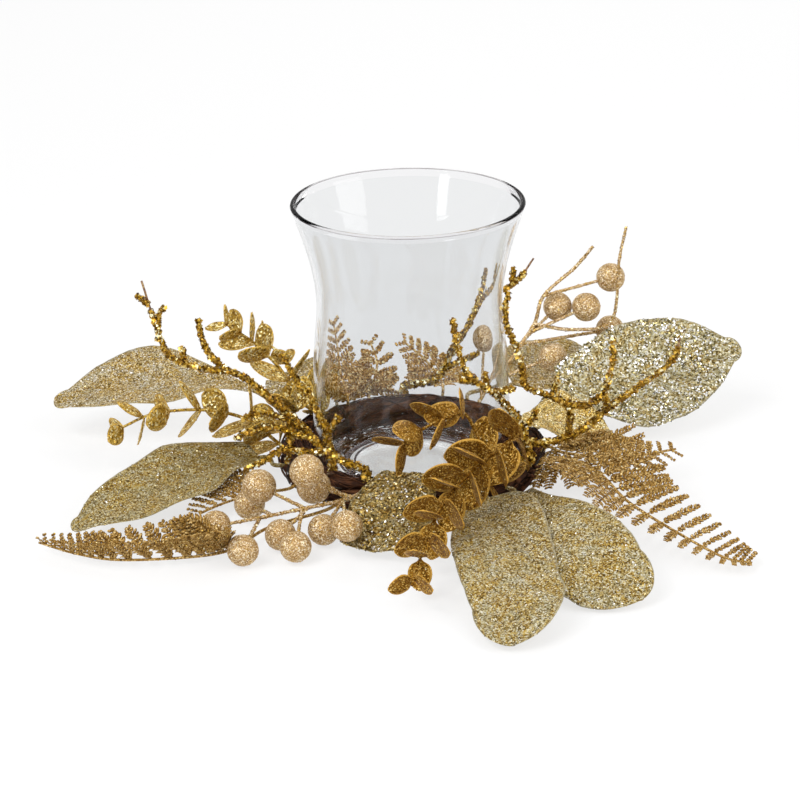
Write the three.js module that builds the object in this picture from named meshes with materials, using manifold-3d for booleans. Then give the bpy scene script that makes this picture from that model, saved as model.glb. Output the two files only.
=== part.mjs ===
// Candle holder: a flared clear glass standing in a ring of twisted vines that is dressed with
// glittered leaves, eucalyptus, ferns, twigs and berries, each on its own stem pushed into the ring.
// Millimetres, +Z up. The origin is the centre of the glass's underside, with -Y to the front.

import * as THREE from "three";
import { mergeVertices } from "three/addons/utils/BufferGeometryUtils.js";
import Module from "manifold-3d";

const wasm = await Module();
wasm.setup();

// Driving dimensions of the glass
const glass = {
  height: 148,
  rimRadius: 60,
  rimBead: 1.3, // half the thickness of the fire-polished lip
  waistRadius: 48,
  waistHeight: 95,
  bellyRadius: 51.6,
  bellyHeight: 14,
  heel: 9, // how high and how far in the wall turns to meet the foot
  footRadius: 33,
  wall: 2.2,
  floor: 6,
  facets: 24,
};

// Driving dimensions of the vine ring and of what ties and fills it
const vine = {
  count: 5,
  radius: 3,
  sides: 5,
  steps: 29,
  twists: 3, // turns that the strands make round each other on the way round the ring
  endGap: 5, // degrees left between a strand's two cut ends
  clearance: 0.45,
};
const wire = { radius: 0.5, turns: 2, pitch: 1.6, sides: 4, ties: [-1, 3, 6] };
const clearance = { glassToRing: 0.3, running: 0.3, table: 0.2 };

// The strands lie side by side round a hollow, so their spacing follows from their size.
const strandCircle = (vine.radius + vine.clearance / 2) / Math.sin(Math.PI / vine.count);
const wireCircle = strandCircle + vine.radius + clearance.running + wire.radius;
const bundleRadius = wireCircle + wire.radius;
const ring = {
  radius: glass.bellyRadius + clearance.glassToRing + bundleRadius,
  height: clearance.table + bundleRadius,
};

// Stems, and the drilled holes that hold them
const socketDepth = 2.4;
const stemLead = 5; // straight run of a stem outside its hole
const stem = { leaf: 1.1, sprig: 1.1, fern: 1, twig: 1.7, berry: 1.2 };

const deg = THREE.MathUtils.degToRad;
const vector = (x, y, z) => new THREE.Vector3(x, y, z);

// A point of the wreath: degrees round the ring, how far outside the ring's centre line, and height.
function place([azimuth, out, height]) {
  const reach = ring.radius + out;
  return vector(reach * Math.cos(deg(azimuth)), reach * Math.sin(deg(azimuth)), height);
}

// A closed skin over a row of sections, each a loop of as many points, capped at both ends.
function loft(sections) {
  const sides = sections[0].length;
  const index = [];
  for (let i = 0; i + 1 < sections.length; i++)
    for (let j = 0; j < sides; j++) {
      const a = i * sides + j;
      const b = i * sides + ((j + 1) % sides);
      index.push(a, b, b + sides, a, b + sides, a + sides);
    }
  const last = (sections.length - 1) * sides;
  for (let j = 1; j + 1 < sides; j++) {
    index.push(0, j + 1, j);
    index.push(last, last + j, last + j + 1);
  }
  const positions = sections.flat().flatMap((p) => [p.x, p.y, p.z]);
  return new THREE.BufferGeometry()
    .setAttribute("position", new THREE.Float32BufferAttribute(positions, 3))
    .setIndex(index);
}

function solidOf(geometry) {
  const merged = mergeVertices(geometry.clone().deleteAttribute("normal").deleteAttribute("uv"));
  return new wasm.Manifold(
    new wasm.Mesh({
      numProp: 3,
      vertProperties: merged.attributes.position.array,
      triVerts: new Uint32Array(merged.index.array),
    }),
  );
}

function geometryOf(solid) {
  const mesh = solid.getMesh();
  return new THREE.BufferGeometry()
    .setAttribute("position", new THREE.BufferAttribute(mesh.vertProperties, 3))
    .setIndex(new THREE.BufferAttribute(mesh.triVerts, 1));
}

const joined = (geometries) =>
  geometryOf(geometries.map(solidOf).reduce((whole, next) => whole.add(next)));

// Frames along a curve through the points: place, tangent, a normal kept near up, and the side.
function framesAlong(points, steps, up, from = 0, to = 1) {
  const curve = new THREE.CatmullRomCurve3(points, false, "catmullrom", 0.5);
  let normal = up.clone();
  return Array.from({ length: steps + 1 }, (_, i) => {
    const t = from + ((to - from) * i) / steps;
    const tangent = curve.getTangent(t);
    normal = normal.addScaledVector(tangent, -normal.dot(tangent)).normalize();
    return {
      at: curve.getPoint(t),
      tangent,
      normal: normal.clone(),
      side: vector().crossVectors(normal, tangent),
    };
  });
}

// A round section of a tube
function roundSection({ at, side, normal }, radius, sides) {
  return Array.from({ length: sides }, (_, j) => {
    const angle = (2 * Math.PI * j) / sides;
    return at
      .clone()
      .addScaledVector(side, radius * Math.cos(angle))
      .addScaledVector(normal, radius * Math.sin(angle));
  });
}

const up = vector(0, 0, 1);

// A tube through the points that tapers from one radius to another.
function taperedTube(points, startRadius, endRadius, steps, sides) {
  const frames = framesAlong(points, steps, up.clone().add(vector(0.1, 0.07, 0)));
  return loft(
    frames.map((frame, i) =>
      roundSection(frame, THREE.MathUtils.lerp(startRadius, endRadius, i / steps), sides),
    ),
  );
}

// Where strand number i runs at an azimuth: its centre, and the way out of the bundle there.
function strandAt(i, azimuth) {
  const section = (2 * Math.PI * i) / vine.count + vine.twists * deg(azimuth);
  const outward = vector(
    Math.cos(section) * Math.cos(deg(azimuth)),
    Math.cos(section) * Math.sin(deg(azimuth)),
    Math.sin(section),
  );
  const centre = place([azimuth, 0, ring.height]).addScaledVector(outward, strandCircle);
  return { centre, outward, section };
}

// A stem's hole: the strand nearest to the wanted direction is drilled, and the stem starts in it.
const sockets = [];
function rootedIn([azimuth, wanted], stemRadius) {
  const turnedAway = (i) => -Math.cos(strandAt(i, azimuth).section - deg(wanted));
  const strand = Array.from({ length: vine.count }, (_, i) => i).sort(
    (a, b) => turnedAway(a) - turnedAway(b),
  )[0];
  const { centre, outward } = strandAt(strand, azimuth);
  const outOf = (distance) => centre.clone().addScaledVector(outward, distance);
  sockets.push({ strand, outOf, outward, radius: stemRadius + clearance.running });
  return [outOf(vine.radius - socketDepth), outOf(vine.radius), outOf(vine.radius + stemLead)];
}

function socketDrill({ outOf, outward, radius }) {
  const acrossCorners = radius / Math.cos(Math.PI / 6);
  const length = socketDepth + stemLead;
  return new THREE.CylinderGeometry(acrossCorners, acrossCorners, length, 6)
    .applyQuaternion(new THREE.Quaternion().setFromUnitVectors(vector(0, 1, 0), outward))
    .translate(...outOf(vine.radius - socketDepth - clearance.running + length / 2));
}

// One strand of the ring: an open length of vine with tapered ends, drilled for the stems in it.
function vineStrand(i) {
  const start = (360 * i) / vine.count + vine.endGap / 2;
  const points = Array.from({ length: vine.steps + 1 }, (_, k) =>
    strandAt(i, start + ((360 - vine.endGap) * k) / vine.steps).centre,
  );
  const frames = framesAlong(points, vine.steps, up);
  const strand = loft(
    frames.map((frame, k) => {
      const fromEnd = Math.min(k, vine.steps - k);
      return roundSection(frame, vine.radius * Math.min(1, 0.6 + 0.2 * fromEnd), vine.sides);
    }),
  );
  return geometryOf(
    sockets
      .filter((socket) => socket.strand === i)
      .reduce((whole, socket) => whole.subtract(solidOf(socketDrill(socket))), solidOf(strand)),
  );
}

// Binding wire wound round the whole bundle, bending over the strands' crests. Each tie lies where
// a crest faces the glass, so that the ring's ties, and nothing behind them, steady the glass.
function tieWire(tie) {
  const azimuth = (180 + (360 * tie) / vine.count) / vine.twists;
  const stepsPerTurn = 2 * vine.count;
  const steps = wire.turns * stepsPerTurn;
  const points = Array.from({ length: steps + 1 }, (_, k) => {
    const along = wire.pitch * (k / stepsPerTurn - wire.turns / 2);
    const shifted = azimuth + THREE.MathUtils.radToDeg(along / ring.radius);
    const turn = strandAt(0, shifted).section + (2 * Math.PI * k) / stepsPerTurn;
    return place([shifted, wireCircle * Math.cos(turn), ring.height + wireCircle * Math.sin(turn)]);
  });
  const frames = framesAlong(points, steps, up);
  return loft(frames.map((frame) => roundSection(frame, wire.radius, wire.sides)));
}

// The glass: a revolved wall between an outer and an inner line, with a thick rounded floor.
function hurricaneGlass() {
  const { height, rimRadius, rimBead, wall, floor } = glass;
  const outer = new THREE.SplineCurve([
    new THREE.Vector2(glass.footRadius, 0),
    new THREE.Vector2(glass.bellyRadius - 0.8 * glass.heel, 0.18 * glass.heel),
    new THREE.Vector2(glass.bellyRadius - 0.18 * glass.heel, 0.62 * glass.heel),
    new THREE.Vector2(glass.bellyRadius, glass.bellyHeight),
    new THREE.Vector2((glass.bellyRadius + glass.waistRadius) / 2 + 0.6, 62),
    new THREE.Vector2(glass.waistRadius, glass.waistHeight),
    new THREE.Vector2(glass.waistRadius + 3.4, height - 29),
    new THREE.Vector2(rimRadius, height - rimBead),
  ]).getPoints(11);
  const inner = outer
    .slice(3, -1)
    .map((p) => new THREE.Vector2(p.x - wall, Math.max(p.y, floor)))
    .filter((p) => p.y > floor)
    .reverse();
  const bead = Array.from({ length: 3 }, (_, i) => {
    const angle = (Math.PI * (i + 1)) / 4;
    return new THREE.Vector2(
      rimRadius - rimBead + rimBead * Math.cos(angle),
      height - rimBead + rimBead * Math.sin(angle),
    );
  });
  const profile = [
    new THREE.Vector2(0, 0),
    ...outer,
    ...bead,
    ...inner,
    new THREE.Vector2(glass.footRadius, floor),
    new THREE.Vector2(0, floor),
  ];
  return new THREE.LatheGeometry(profile, glass.facets).rotateX(Math.PI / 2);
}

// A magnolia leaf: its petiole runs from the ring into a blade that is folded along the midrib,
// waved at its edges and rolled about its length. Each edge gives the half width at equal steps
// from base to tip as shares of half the width, first on the side of the higher azimuths.
const leafBlade = { thickness: 1.1, petioleSteps: 4, bladeSteps: 9, tip: 1.2 };
const evenEdge = [0.35, 0.86, 1, 0.88, 0.58, 0];
function magnoliaLeaf({
  root, path, width, edges = [evenEdge, evenEdge], roll = 0, fold = 12, wave = 2, waves = 1.5,
}) {
  const points = [...rootedIn(root, stem.leaf), ...path.map(place)];
  const neck = 3 / (points.length - 1);
  const { petioleSteps, bladeSteps, thickness, tip } = leafBlade;
  const petiole = framesAlong(points, petioleSteps, up, 0, neck);
  const blade = framesAlong(points, bladeSteps, up, neck, 1).slice(1);
  const outlines = edges.map(
    (shares) => new THREE.SplineCurve(shares.map((share) => new THREE.Vector2(0, share))),
  );
  const sections = petiole.map((frame) => roundSection(frame, stem.leaf, 6));
  blade.forEach((frame, i) => {
    const u = (i + 1) / bladeSteps;
    const halves = outlines.map((edge) => Math.max(tip, (width / 2) * edge.getPoint(u).y));
    const turn = new THREE.Quaternion().setFromAxisAngle(frame.tangent, deg(roll));
    const side = frame.side.clone().applyQuaternion(turn);
    const normal = frame.normal.clone().applyQuaternion(turn);
    const point = (t, lift) => {
      const across = t * halves[t > 0 ? 0 : 1];
      const rise = Math.abs(across) * Math.tan(deg(fold));
      const ripple = ((wave * across) / (width / 2)) * Math.sin(2 * Math.PI * waves * u);
      return frame.at
        .clone()
        .addScaledVector(side, across)
        .addScaledVector(normal, rise + ripple + lift);
    };
    const lift = Math.min(thickness, ...halves) / 2;
    sections.push([
      point(1, 0),
      ...[0.5, 0, -0.5].map((t) => point(t, lift)),
      point(-1, 0),
      point(0, -lift),
    ]);
  });
  return loft(sections);
}

// A small blade, flat above and keeled below. Its outline gives the half width at a few places along
// it, both as shares, and its bend is how far the tip leaves the plane of its base.
const ovalLeaf = { outline: [[0, 0.06], [0.3, 0.88], [0.72, 0.9], [1, 0.2]], bend: 0.18 };
const pinna = { outline: [[0, 0.25], [0.4, 1], [1, 0.3]], bend: -0.08 };
const bladeKeel = 0.8;
function smallBlade({ outline, bend }, base, along, normal, length, width) {
  const side = vector().crossVectors(normal, along);
  return loft(
    outline.map(([u, share]) => {
      const middle = base
        .clone()
        .addScaledVector(along, length * u)
        .addScaledVector(normal, bend * length * u * u);
      const half = (share * width) / 2;
      const keel = Math.min(bladeKeel, half);
      return [
        middle.clone().addScaledVector(side, half),
        middle.clone().addScaledVector(side, -half),
        middle.clone().addScaledVector(normal, -keel),
      ];
    }),
  );
}

// Leaves or fronds set on a stem start inside it, so that they fuse with it.
const embedded = 0.3;

// A eucalyptus sprig: pairs of oval leaves that shrink towards the tip, each pair turned a quarter.
function eucalyptusSprig({
  root, path, pairs, length, width, spin = 0, lean = 62, bare = 0.25, taper = 0.5,
}) {
  const points = [...rootedIn(root, stem.sprig), ...path.map(place)];
  const parts = [taperedTube(points, stem.sprig, 0.7, 3 * (points.length - 1), 4)];
  const stations = framesAlong(points, pairs - 1, up, bare, 0.98);
  stations.forEach(({ at, tangent, normal, side }, i) => {
    const shrink = 1 - taper * (i / pairs) ** 1.5;
    for (const flip of [0, 180]) {
      const turn = deg(spin + 90 * i + flip);
      const away = normal.clone().multiplyScalar(Math.cos(turn)).addScaledVector(side, Math.sin(turn));
      const tilted = (forward, outward) =>
        tangent.clone().multiplyScalar(forward).addScaledVector(away, outward);
      const along = tilted(Math.cos(deg(lean)), Math.sin(deg(lean)));
      const face = tilted(Math.sin(deg(lean)), -Math.cos(deg(lean)));
      const base = at.clone().addScaledVector(away, embedded);
      parts.push(smallBlade(ovalLeaf, base, along, face, length * shrink, width * shrink));
    }
  });
  return joined(parts);
}

// A fern: a rachis with pairs of side fronds that shorten towards the tip. Roll turns the
// whole fern about its length, and lift raises the fronds of both sides out of its plane. A fern
// that lies against the berries keeps the fronds of one hand only, -1 being the lower azimuths.
const frondTaper = { share: 0.88, power: 1.1 };
function fern({
  root, path, pairs, length, width, lean = 55, roll = 0, lift = 0, bare = 0.3, hands = [1, -1],
}) {
  const points = [...rootedIn(root, stem.fern), ...path.map(place)];
  const parts = [taperedTube(points, stem.fern, 0.6, 2 * (points.length - 1), 3)];
  const stations = framesAlong(points, pairs - 1, up, bare, 0.98);
  stations.forEach(({ at, tangent, normal, side }, i) => {
    const shrink = 1 - frondTaper.share * (i / pairs) ** frondTaper.power;
    for (const hand of hands) {
      const turn = new THREE.Quaternion().setFromAxisAngle(tangent, deg(roll + hand * lift));
      const across = side.clone().applyQuaternion(turn).multiplyScalar(hand);
      const along = tangent
        .clone()
        .multiplyScalar(Math.cos(deg(lean)))
        .addScaledVector(across, Math.sin(deg(lean)));
      const base = at.clone().addScaledVector(across, embedded);
      const face = normal.clone().applyQuaternion(turn);
      parts.push(smallBlade(pinna, base, along, face, length * shrink, width * shrink));
    }
  });
  return joined(parts);
}

// A twig: a trunk whose branches fork off it, and off one another, and taper to blunt tips. Each
// fork is given by the point of its parent's path that it leaves from, counted from 1.
const twigEnds = { trunk: 0.8, fork: 1.3, branch: 0.6 };
function twigTubes(points, lead, radius, tip, forks = []) {
  const curve = new THREE.CatmullRomCurve3(points, false, "catmullrom", 0.5);
  return [
    taperedTube(points, radius, tip, points.length - 1, 5),
    ...forks.flatMap(({ from, path, forks: further }) => {
      const start = curve.getPoint((from + lead) / (points.length - 1));
      return twigTubes([start, ...path.map(place)], 0, twigEnds.fork, twigEnds.branch, further);
    }),
  ];
}

function twig({ root, path, forks }) {
  const points = [...rootedIn(root, stem.twig), ...path.map(place)];
  return joined(twigTubes(points, 2, stem.twig, twigEnds.trunk, forks));
}

// A berry is a ball with a blind hole that its stem's tip sits in.
const berry = { tip: 0.8, seatDepth: 3, rings: 4, facets: 7 };
function berryBall({ centre, radius, towardsStem }) {
  const holeRadius = berry.tip + clearance.running;
  const first = Math.asin(holeRadius / radius);
  const skin = Array.from({ length: berry.rings + 1 }, (_, i) => {
    const angle = first + ((Math.PI - first) * i) / berry.rings;
    return new THREE.Vector2(radius * Math.sin(angle), radius * Math.cos(angle));
  });
  const bottom = radius - berry.seatDepth - clearance.running;
  const profile = [new THREE.Vector2(0, bottom), new THREE.Vector2(holeRadius, bottom), ...skin];
  return new THREE.LatheGeometry(profile.reverse(), berry.facets)
    .applyQuaternion(new THREE.Quaternion().setFromUnitVectors(vector(0, 1, 0), towardsStem))
    .translate(...centre);
}

// A berry spray: a forking stem, and where each berry sits on the end of its own side stem.
function berrySpray({ root, path, berries, spurs = [] }) {
  const points = [...rootedIn(root, stem.berry), ...path.map(place)];
  const curve = new THREE.CatmullRomCurve3(points, false, "catmullrom", 0.5);
  const balls = berries.map(({ at, from, radius = 7.8 }) => {
    const centre = place(at);
    const fork = curve.getPoint((from + 2) / (points.length - 1));
    const towardsStem = fork.clone().sub(centre).normalize();
    return { centre, fork, radius, towardsStem };
  });
  const sideStem = ({ centre, fork, radius, towardsStem }) => {
    const tip = centre.clone().addScaledVector(towardsStem, radius - berry.seatDepth);
    return taperedTube([fork, tip], 0.9, berry.tip, 1, 3);
  };
  const stems = joined([
    taperedTube(points, stem.berry, 0.8, 2 * (points.length - 1), 4),
    ...balls.map(sideStem),
    ...spurs.map((spur) => taperedTube(spur.map(place), 1, 0.7, 2 * (spur.length - 1), 5)),
  ]);
  return { stems, balls };
}

const finishes = {
  clearGlass: { color: 0xf2f6f5, roughness: 0.03, metalness: 0, transparent: true, opacity: 0.3 },
  bark: { color: 0x4a2f20, roughness: 0.85, metalness: 0 },
  wire: { color: 0x2a201c, roughness: 0.5, metalness: 0.6 },
  fineGlitter: { color: 0xb89a5c, roughness: 0.45, metalness: 0.7 },
  coarseGlitter: { color: 0xbfb184, roughness: 0.35, metalness: 0.8 },
  copperGlitter: { color: 0xa5762c, roughness: 0.45, metalness: 0.7 },
  berryGlitter: { color: 0xc79a5f, roughness: 0.4, metalness: 0.7 },
  twigFlake: { color: 0xcf9f2e, roughness: 0.3, metalness: 0.85 },
  fernGlitter: { color: 0xa97f45, roughness: 0.5, metalness: 0.6 },
};

// Each piece gives the hole it is rooted in, as an azimuth and a direction round the bundle, and the
// points that its stem or midrib passes, as azimuth, distance outside the ring's centre line and height.
const leaves = {
  leaf_front: {
    root: [300, 20], path: [[297, 20, 13.5], [287, 96, 13.5], [281, 164, 3]],
    width: 54, edges: [[0.5, 0.82, 0.8, 0.82, 0.92, 0.25], [0.4, 0.76, 1, 0.94, 0.66, 0.2]], roll: 6,
  },
  leaf_front_right: {
    root: [313, 10], path: [[309, 22, 12], [300, 90, 17.5], [301.5, 145, 5]],
    width: 56, edges: [[0.3, 0.38, 0.74, 0.82, 0.62, 0.1], [0.4, 0.54, 0.78, 0.95, 0.95, 0.35]],
    roll: 18, fold: 6,
  },
  leaf_front_left: {
    root: [273, 60], path: [[270, 13, 28.5], [264, 36, 17], [261, 56, 5]],
    width: 54, edges: [[0.5, 0.65, 0.84, 0.97, 0.98, 0.5], [0.6, 0.8, 0.87, 0.86, 0.9, 0.8]],
    roll: 6, fold: 4,
  },
  leaf_left_high: {
    root: [153, 30], path: [[153, 34, 30], [155, 80, 31], [163, 141, 19]],
    width: 50, edges: [[0.1, 0.4, 0.84, 1, 0.8, 0.3], [0.1, 0.2, 0.5, 0.98, 0.85, 0.1]],
    roll: -20,
  },
  leaf_left_low: {
    root: [196, 0], path: [[193, 20, 16], [201, 70, 15.5], [207.5, 130, 7]],
    width: 44, edges: [[0.45, 0.46, 1, 0.97, 0.98, 0.1], [0.55, 0.88, 1, 0.82, 0.7, 0.1]],
    roll: -12,
  },
  leaf_right_high: {
    root: [30, 45], path: [[33, 34, 24], [27, 84, 27], [22.5, 133, 38]],
    width: 66, edges: [[0.35, 0.62, 0.9, 0.9, 0.63, 0.1], [0.3, 0.7, 1.08, 0.98, 0.66, 0.1]],
    roll: 40,
  },
  leaf_right_low: {
    root: [14, 45], path: [[12, 4, 27], [4, 16, 25], [358.5, 46, 16]],
    width: 40, edges: [evenEdge, [0.35, 0.86, 1, 1, 0.9, 0.4]], roll: 14,
  },
  leaf_back_right: {
    root: [62, 30], path: [[54, 34, 18], [50.5, 66, 21], [47, 98, 18]],
    width: 48, roll: 14,
  },
  leaf_back_left: {
    root: [125, 30], path: [[124, 22, 18], [126, 44, 17], [129, 66, 13]],
    width: 40, roll: -15,
  },
};

const sprigs = {
  eucalyptus_left: {
    root: [182, 40], path: [[181.5, 24, 31], [183, 46, 38], [181.8, 72, 36], [181.8, 91, 28]],
    pairs: 8, length: 23, width: 19, lean: 64, bare: 0.28, taper: 0.5,
  },
  eucalyptus_left_high: {
    root: [166, 70], path: [[164.5, 6, 45], [165.2, 20, 62], [167, 28, 69.5], [168.3, 37, 76.5]],
    pairs: 7, length: 25, width: 19, spin: 8, lean: 60, taper: 0.65,
  },
  eucalyptus_front: {
    root: [324, 60],
    path: [
      [307, 25, 44], [294, 34, 43], [286, 42, 39], [279, 53, 33],
      [274.3, 70, 27], [271.5, 92, 21], [269.6, 116, 14.5],
    ],
    pairs: 10, length: 25, width: 20, spin: 5, bare: 0.36, taper: 0.55,
  },
  eucalyptus_front_high: {
    root: [304, 80], path: [[294, 8, 54], [285, 9, 56], [274, 10, 51], [266, 12, 44]],
    pairs: 6, length: 20, width: 16, spin: 50, lean: 55, taper: 0.2,
  },
  eucalyptus_back: {
    root: [146, 50], path: [[144, 14, 34], [143, 24, 46], [146, 35, 55]],
    pairs: 4, length: 16, width: 12, spin: 20,
  },
};

const ferns = {
  fern_left: {
    root: [240, -10],
    path: [
      [236, 19, 6], [229, 50, 4.5], [230.8, 77, 4.5], [228, 96, 4.5],
      [220, 125, 4.5], [214, 138, 4.5], [207.6, 148, 4.5],
    ],
    pairs: 12, length: 27, width: 9, lift: 60, bare: 0.57,
  },
  fern_left_high: {
    root: [211, -5], path: [[212, 24, 8], [212, 38, 9], [212.5, 54, 8.5], [214, 68, 8]],
    pairs: 7, length: 30, width: 9, lean: 62, roll: -8, lift: 8, bare: 0.46, hands: [-1],
  },
  fern_right: {
    root: [334, 0],
    path: [
      [331, 30, 22], [325.5, 53, 22.5], [322.5, 74, 14.5],
      [320.4, 108, 8], [319.6, 136, 4], [320.6, 150, 3.5],
    ],
    pairs: 11, length: 34, width: 11, lean: 66, roll: 4, lift: 26, bare: 0.4,
  },
  fern_right_high: {
    root: [348, 10], path: [[343, 20, 18], [341.5, 40, 19], [346, 59, 18], [354, 76, 15]],
    pairs: 9, length: 28, width: 9, roll: 24, lift: 1.5, bare: 0.4,
  },
  fern_back_left: {
    root: [125, 70], path: [[123.4, 12, 34], [122.7, 17, 47], [123.2, 22, 60]],
    pairs: 8, length: 18, width: 7,
  },
  fern_back: {
    root: [110, 60], path: [[108, 8, 24], [105, 11, 35], [107, 16, 46]],
    pairs: 6, length: 20, width: 8,
  },
  fern_back_right: {
    root: [74, 45], path: [[78, 14, 25], [85, 18, 34], [93, 21, 43]],
    pairs: 7, length: 22, width: 8, bare: 0.42,
  },
};

const twigs = {
  twig_left: {
    root: [247, 80],
    path: [
      [239, 4, 28], [229, 5, 32], [219, 4, 36], [209.3, 5, 41], [200.2, 19, 56],
      [197.6, 31, 66], [194.5, 50, 70], [192.9, 64, 77], [192.2, 70, 93], [191.7, 76, 117],
    ],
    forks: [
      { from: 6.2, path: [[195.6, 42, 74], [194.9, 47, 83], [194.6, 49, 97]] },
      { from: 7.4, path: [[193.5, 58, 82]] },
      { from: 8.8, path: [[192.5, 69, 97], [192.8, 65, 104]] },
      { from: 9.5, path: [[191.3, 80, 110]] },
    ],
  },
  twig_left_small: {
    root: [226, 80],
    path: [[221, -3, 40], [215, -3, 47], [209, -2, 54], [202, 2, 62], [196.7, 8, 75]],
    forks: [{ from: 0.8, path: [[227, -3, 43], [231, -4, 49]] }],
  },
  twig_right: {
    root: [338, 60],
    path: [
      [336, 15, 27], [339.9, 26, 30], [343, 34, 35], [345.5, 42, 43], [348.2, 60, 56],
      [349.4, 74, 68], [349.7, 78, 80],
    ],
    forks: [
      {
        from: 1.8,
        path: [
          [337.2, 26, 44], [335.8, 23, 50], [331, 14, 56], [327, 7, 61], [326, 6, 72],
          [324, 3, 84], [321.2, 0, 98], [322.7, 1, 112],
        ],
        forks: [
          { from: 2.6, path: [[333.9, 20, 58], [334.4, 21, 66]] },
          { from: 2, path: [[339, 33, 48], [341.3, 41, 54], [342.2, 46, 70], [342.2, 46, 85]] },
        ],
      },
      { from: 4, path: [[342, 43, 50], [341.4, 41.5, 55]] },
    ],
  },
  twig_front_right: {
    root: [330, 85],
    path: [[323, 6, 43], [312.4, 3, 59], [306.3, 3, 65], [297.1, 1, 74], [291.8, 1, 91], [290.3, 0, 105]],
    forks: [
      { from: 0.7, path: [[328, 10, 42], [331, 13, 48]] },
      { from: 2.2, path: [[316.9, 3, 61], [323, 5, 60]] },
      { from: 3, path: [[305.6, 2, 74]] },
      { from: 3.6, path: [[292.1, 2, 72]] },
    ],
  },
  twig_back: {
    root: [93, 80],
    path: [
      [84, 2, 25], [75.7, 5, 29], [69.9, 9, 45], [65.2, 13, 54],
      [59.8, 21, 69], [52.1, 32, 78], [48.1, 39, 91],
    ],
    forks: [
      { from: 2.3, path: [[64, 12, 38], [60, 19, 40]] },
      { from: 4.8, path: [[58.8, 23, 77], [57.9, 24, 87]] },
      { from: 5.9, path: [[53.2, 32, 87]] },
    ],
  },
};

// Each berry's side stem leaves the spray's main stem at a point of the path, counted from 1.
const sprays = {
  berries_front: {
    root: [252, 30],
    path: [[248, 25, 18], [242, 38, 18], [236, 47, 16], [230, 57, 13]],
    berries: [
      { at: [239.7, 42, 37], from: 1, radius: 8.6 },
      { at: [235, 25, 21], from: 0.8, radius: 8.6 },
      { at: [226.7, 50, 26], from: 2.5, radius: 8.6 },
      { at: [218.6, 44, 10], from: 3.6 },
      { at: [222.1, 71, 8.2], from: 3.8 },
      { at: [235, 84, 8.2], from: 4 },
      { at: [237, 59, 8.2], from: 2.4 },
      { at: [243.5, 68, 8.2], from: 2.6 },
      { at: [245, 44, 8.2], from: 1.2 },
      { at: [253.8, 55, 17], from: 1.2 },
    ],
  },
  berries_back: {
    root: [57, 60],
    path: [[49, 30, 44], [47.5, 39, 55], [46.5, 44, 69], [42.4, 60, 83], [39.3, 67, 95]],
    berries: [
      { at: [38.7, 78.8, 75], from: 3 },
      { at: [39.7, 63, 61], from: 1.4 },
      { at: [46.3, 55, 60], from: 1.2 },
      { at: [41, 84, 42], from: 1 },
      { at: [44, 46, 34], from: 0.4 },
      { at: [60, 26, 46], from: 0 },
    ],
    spurs: [
      [[47.5, 38, 54], [41, 56, 49], [36, 74, 53], [34, 75, 88], [33.6, 79, 107]],
    ],
  },
};

const wreath = new THREE.Group();
function addMesh(name, geometry, finish) {
  const mesh = new THREE.Mesh(geometry, new THREE.MeshStandardMaterial(finishes[finish]));
  mesh.name = name;
  wreath.add(mesh);
}

for (const [name, leaf] of Object.entries(leaves)) addMesh(name, magnoliaLeaf(leaf), "fineGlitter");
for (const [name, sprig] of Object.entries(sprigs)) {
  addMesh(name, eucalyptusSprig(sprig), "copperGlitter");
}
for (const [name, frond] of Object.entries(ferns)) addMesh(name, fern(frond), "fernGlitter");
for (const [name, branch] of Object.entries(twigs)) addMesh(name, twig(branch), "twigFlake");
for (const [name, spray] of Object.entries(sprays)) {
  const { stems, balls } = berrySpray(spray);
  addMesh(`${name}_stem`, stems, "berryGlitter");
  balls.forEach((ball, i) => addMesh(`${name}_${i + 1}`, berryBall(ball), "berryGlitter"));
}
for (let i = 0; i < vine.count; i++) addMesh(`vine_${i + 1}`, vineStrand(i), "bark");
wire.ties.forEach((tie, i) => addMesh(`tie_wire_${i + 1}`, tieWire(tie), "wire"));
addMesh("glass", hurricaneGlass(), "clearGlass");

export default wreath;
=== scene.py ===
import math
import random

import bpy
from mathutils import Matrix, Quaternion, Vector, noise


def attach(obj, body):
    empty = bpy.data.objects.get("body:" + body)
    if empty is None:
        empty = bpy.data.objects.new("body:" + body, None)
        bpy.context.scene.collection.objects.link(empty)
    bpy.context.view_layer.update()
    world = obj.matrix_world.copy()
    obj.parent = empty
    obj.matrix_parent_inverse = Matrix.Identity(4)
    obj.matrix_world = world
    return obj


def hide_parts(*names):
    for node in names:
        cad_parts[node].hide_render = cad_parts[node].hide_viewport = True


# The looks of the candle holder: a clear flared glass in a twisted vine ring, dressed with glittered
# leaves, eucalyptus, ferns, twigs and berries. Shapes are worked out in millimetres and stored in
# metres, and every piece lies where its solid lies.

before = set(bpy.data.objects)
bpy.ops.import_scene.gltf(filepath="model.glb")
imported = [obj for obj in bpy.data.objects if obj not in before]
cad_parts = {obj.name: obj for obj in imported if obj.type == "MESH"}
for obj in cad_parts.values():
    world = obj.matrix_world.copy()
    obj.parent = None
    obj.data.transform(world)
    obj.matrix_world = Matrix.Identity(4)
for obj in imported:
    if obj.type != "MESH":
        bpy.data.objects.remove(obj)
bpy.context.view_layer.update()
print("frame loaded,", len(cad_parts), "nodes")

mm = 0.001
upward = Vector((0, 0, 1))
stemHint = Vector((0.1, 0.07, 1))   # a little off upright, so that an upright stem has a side too


# where things lie on the ring

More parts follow.
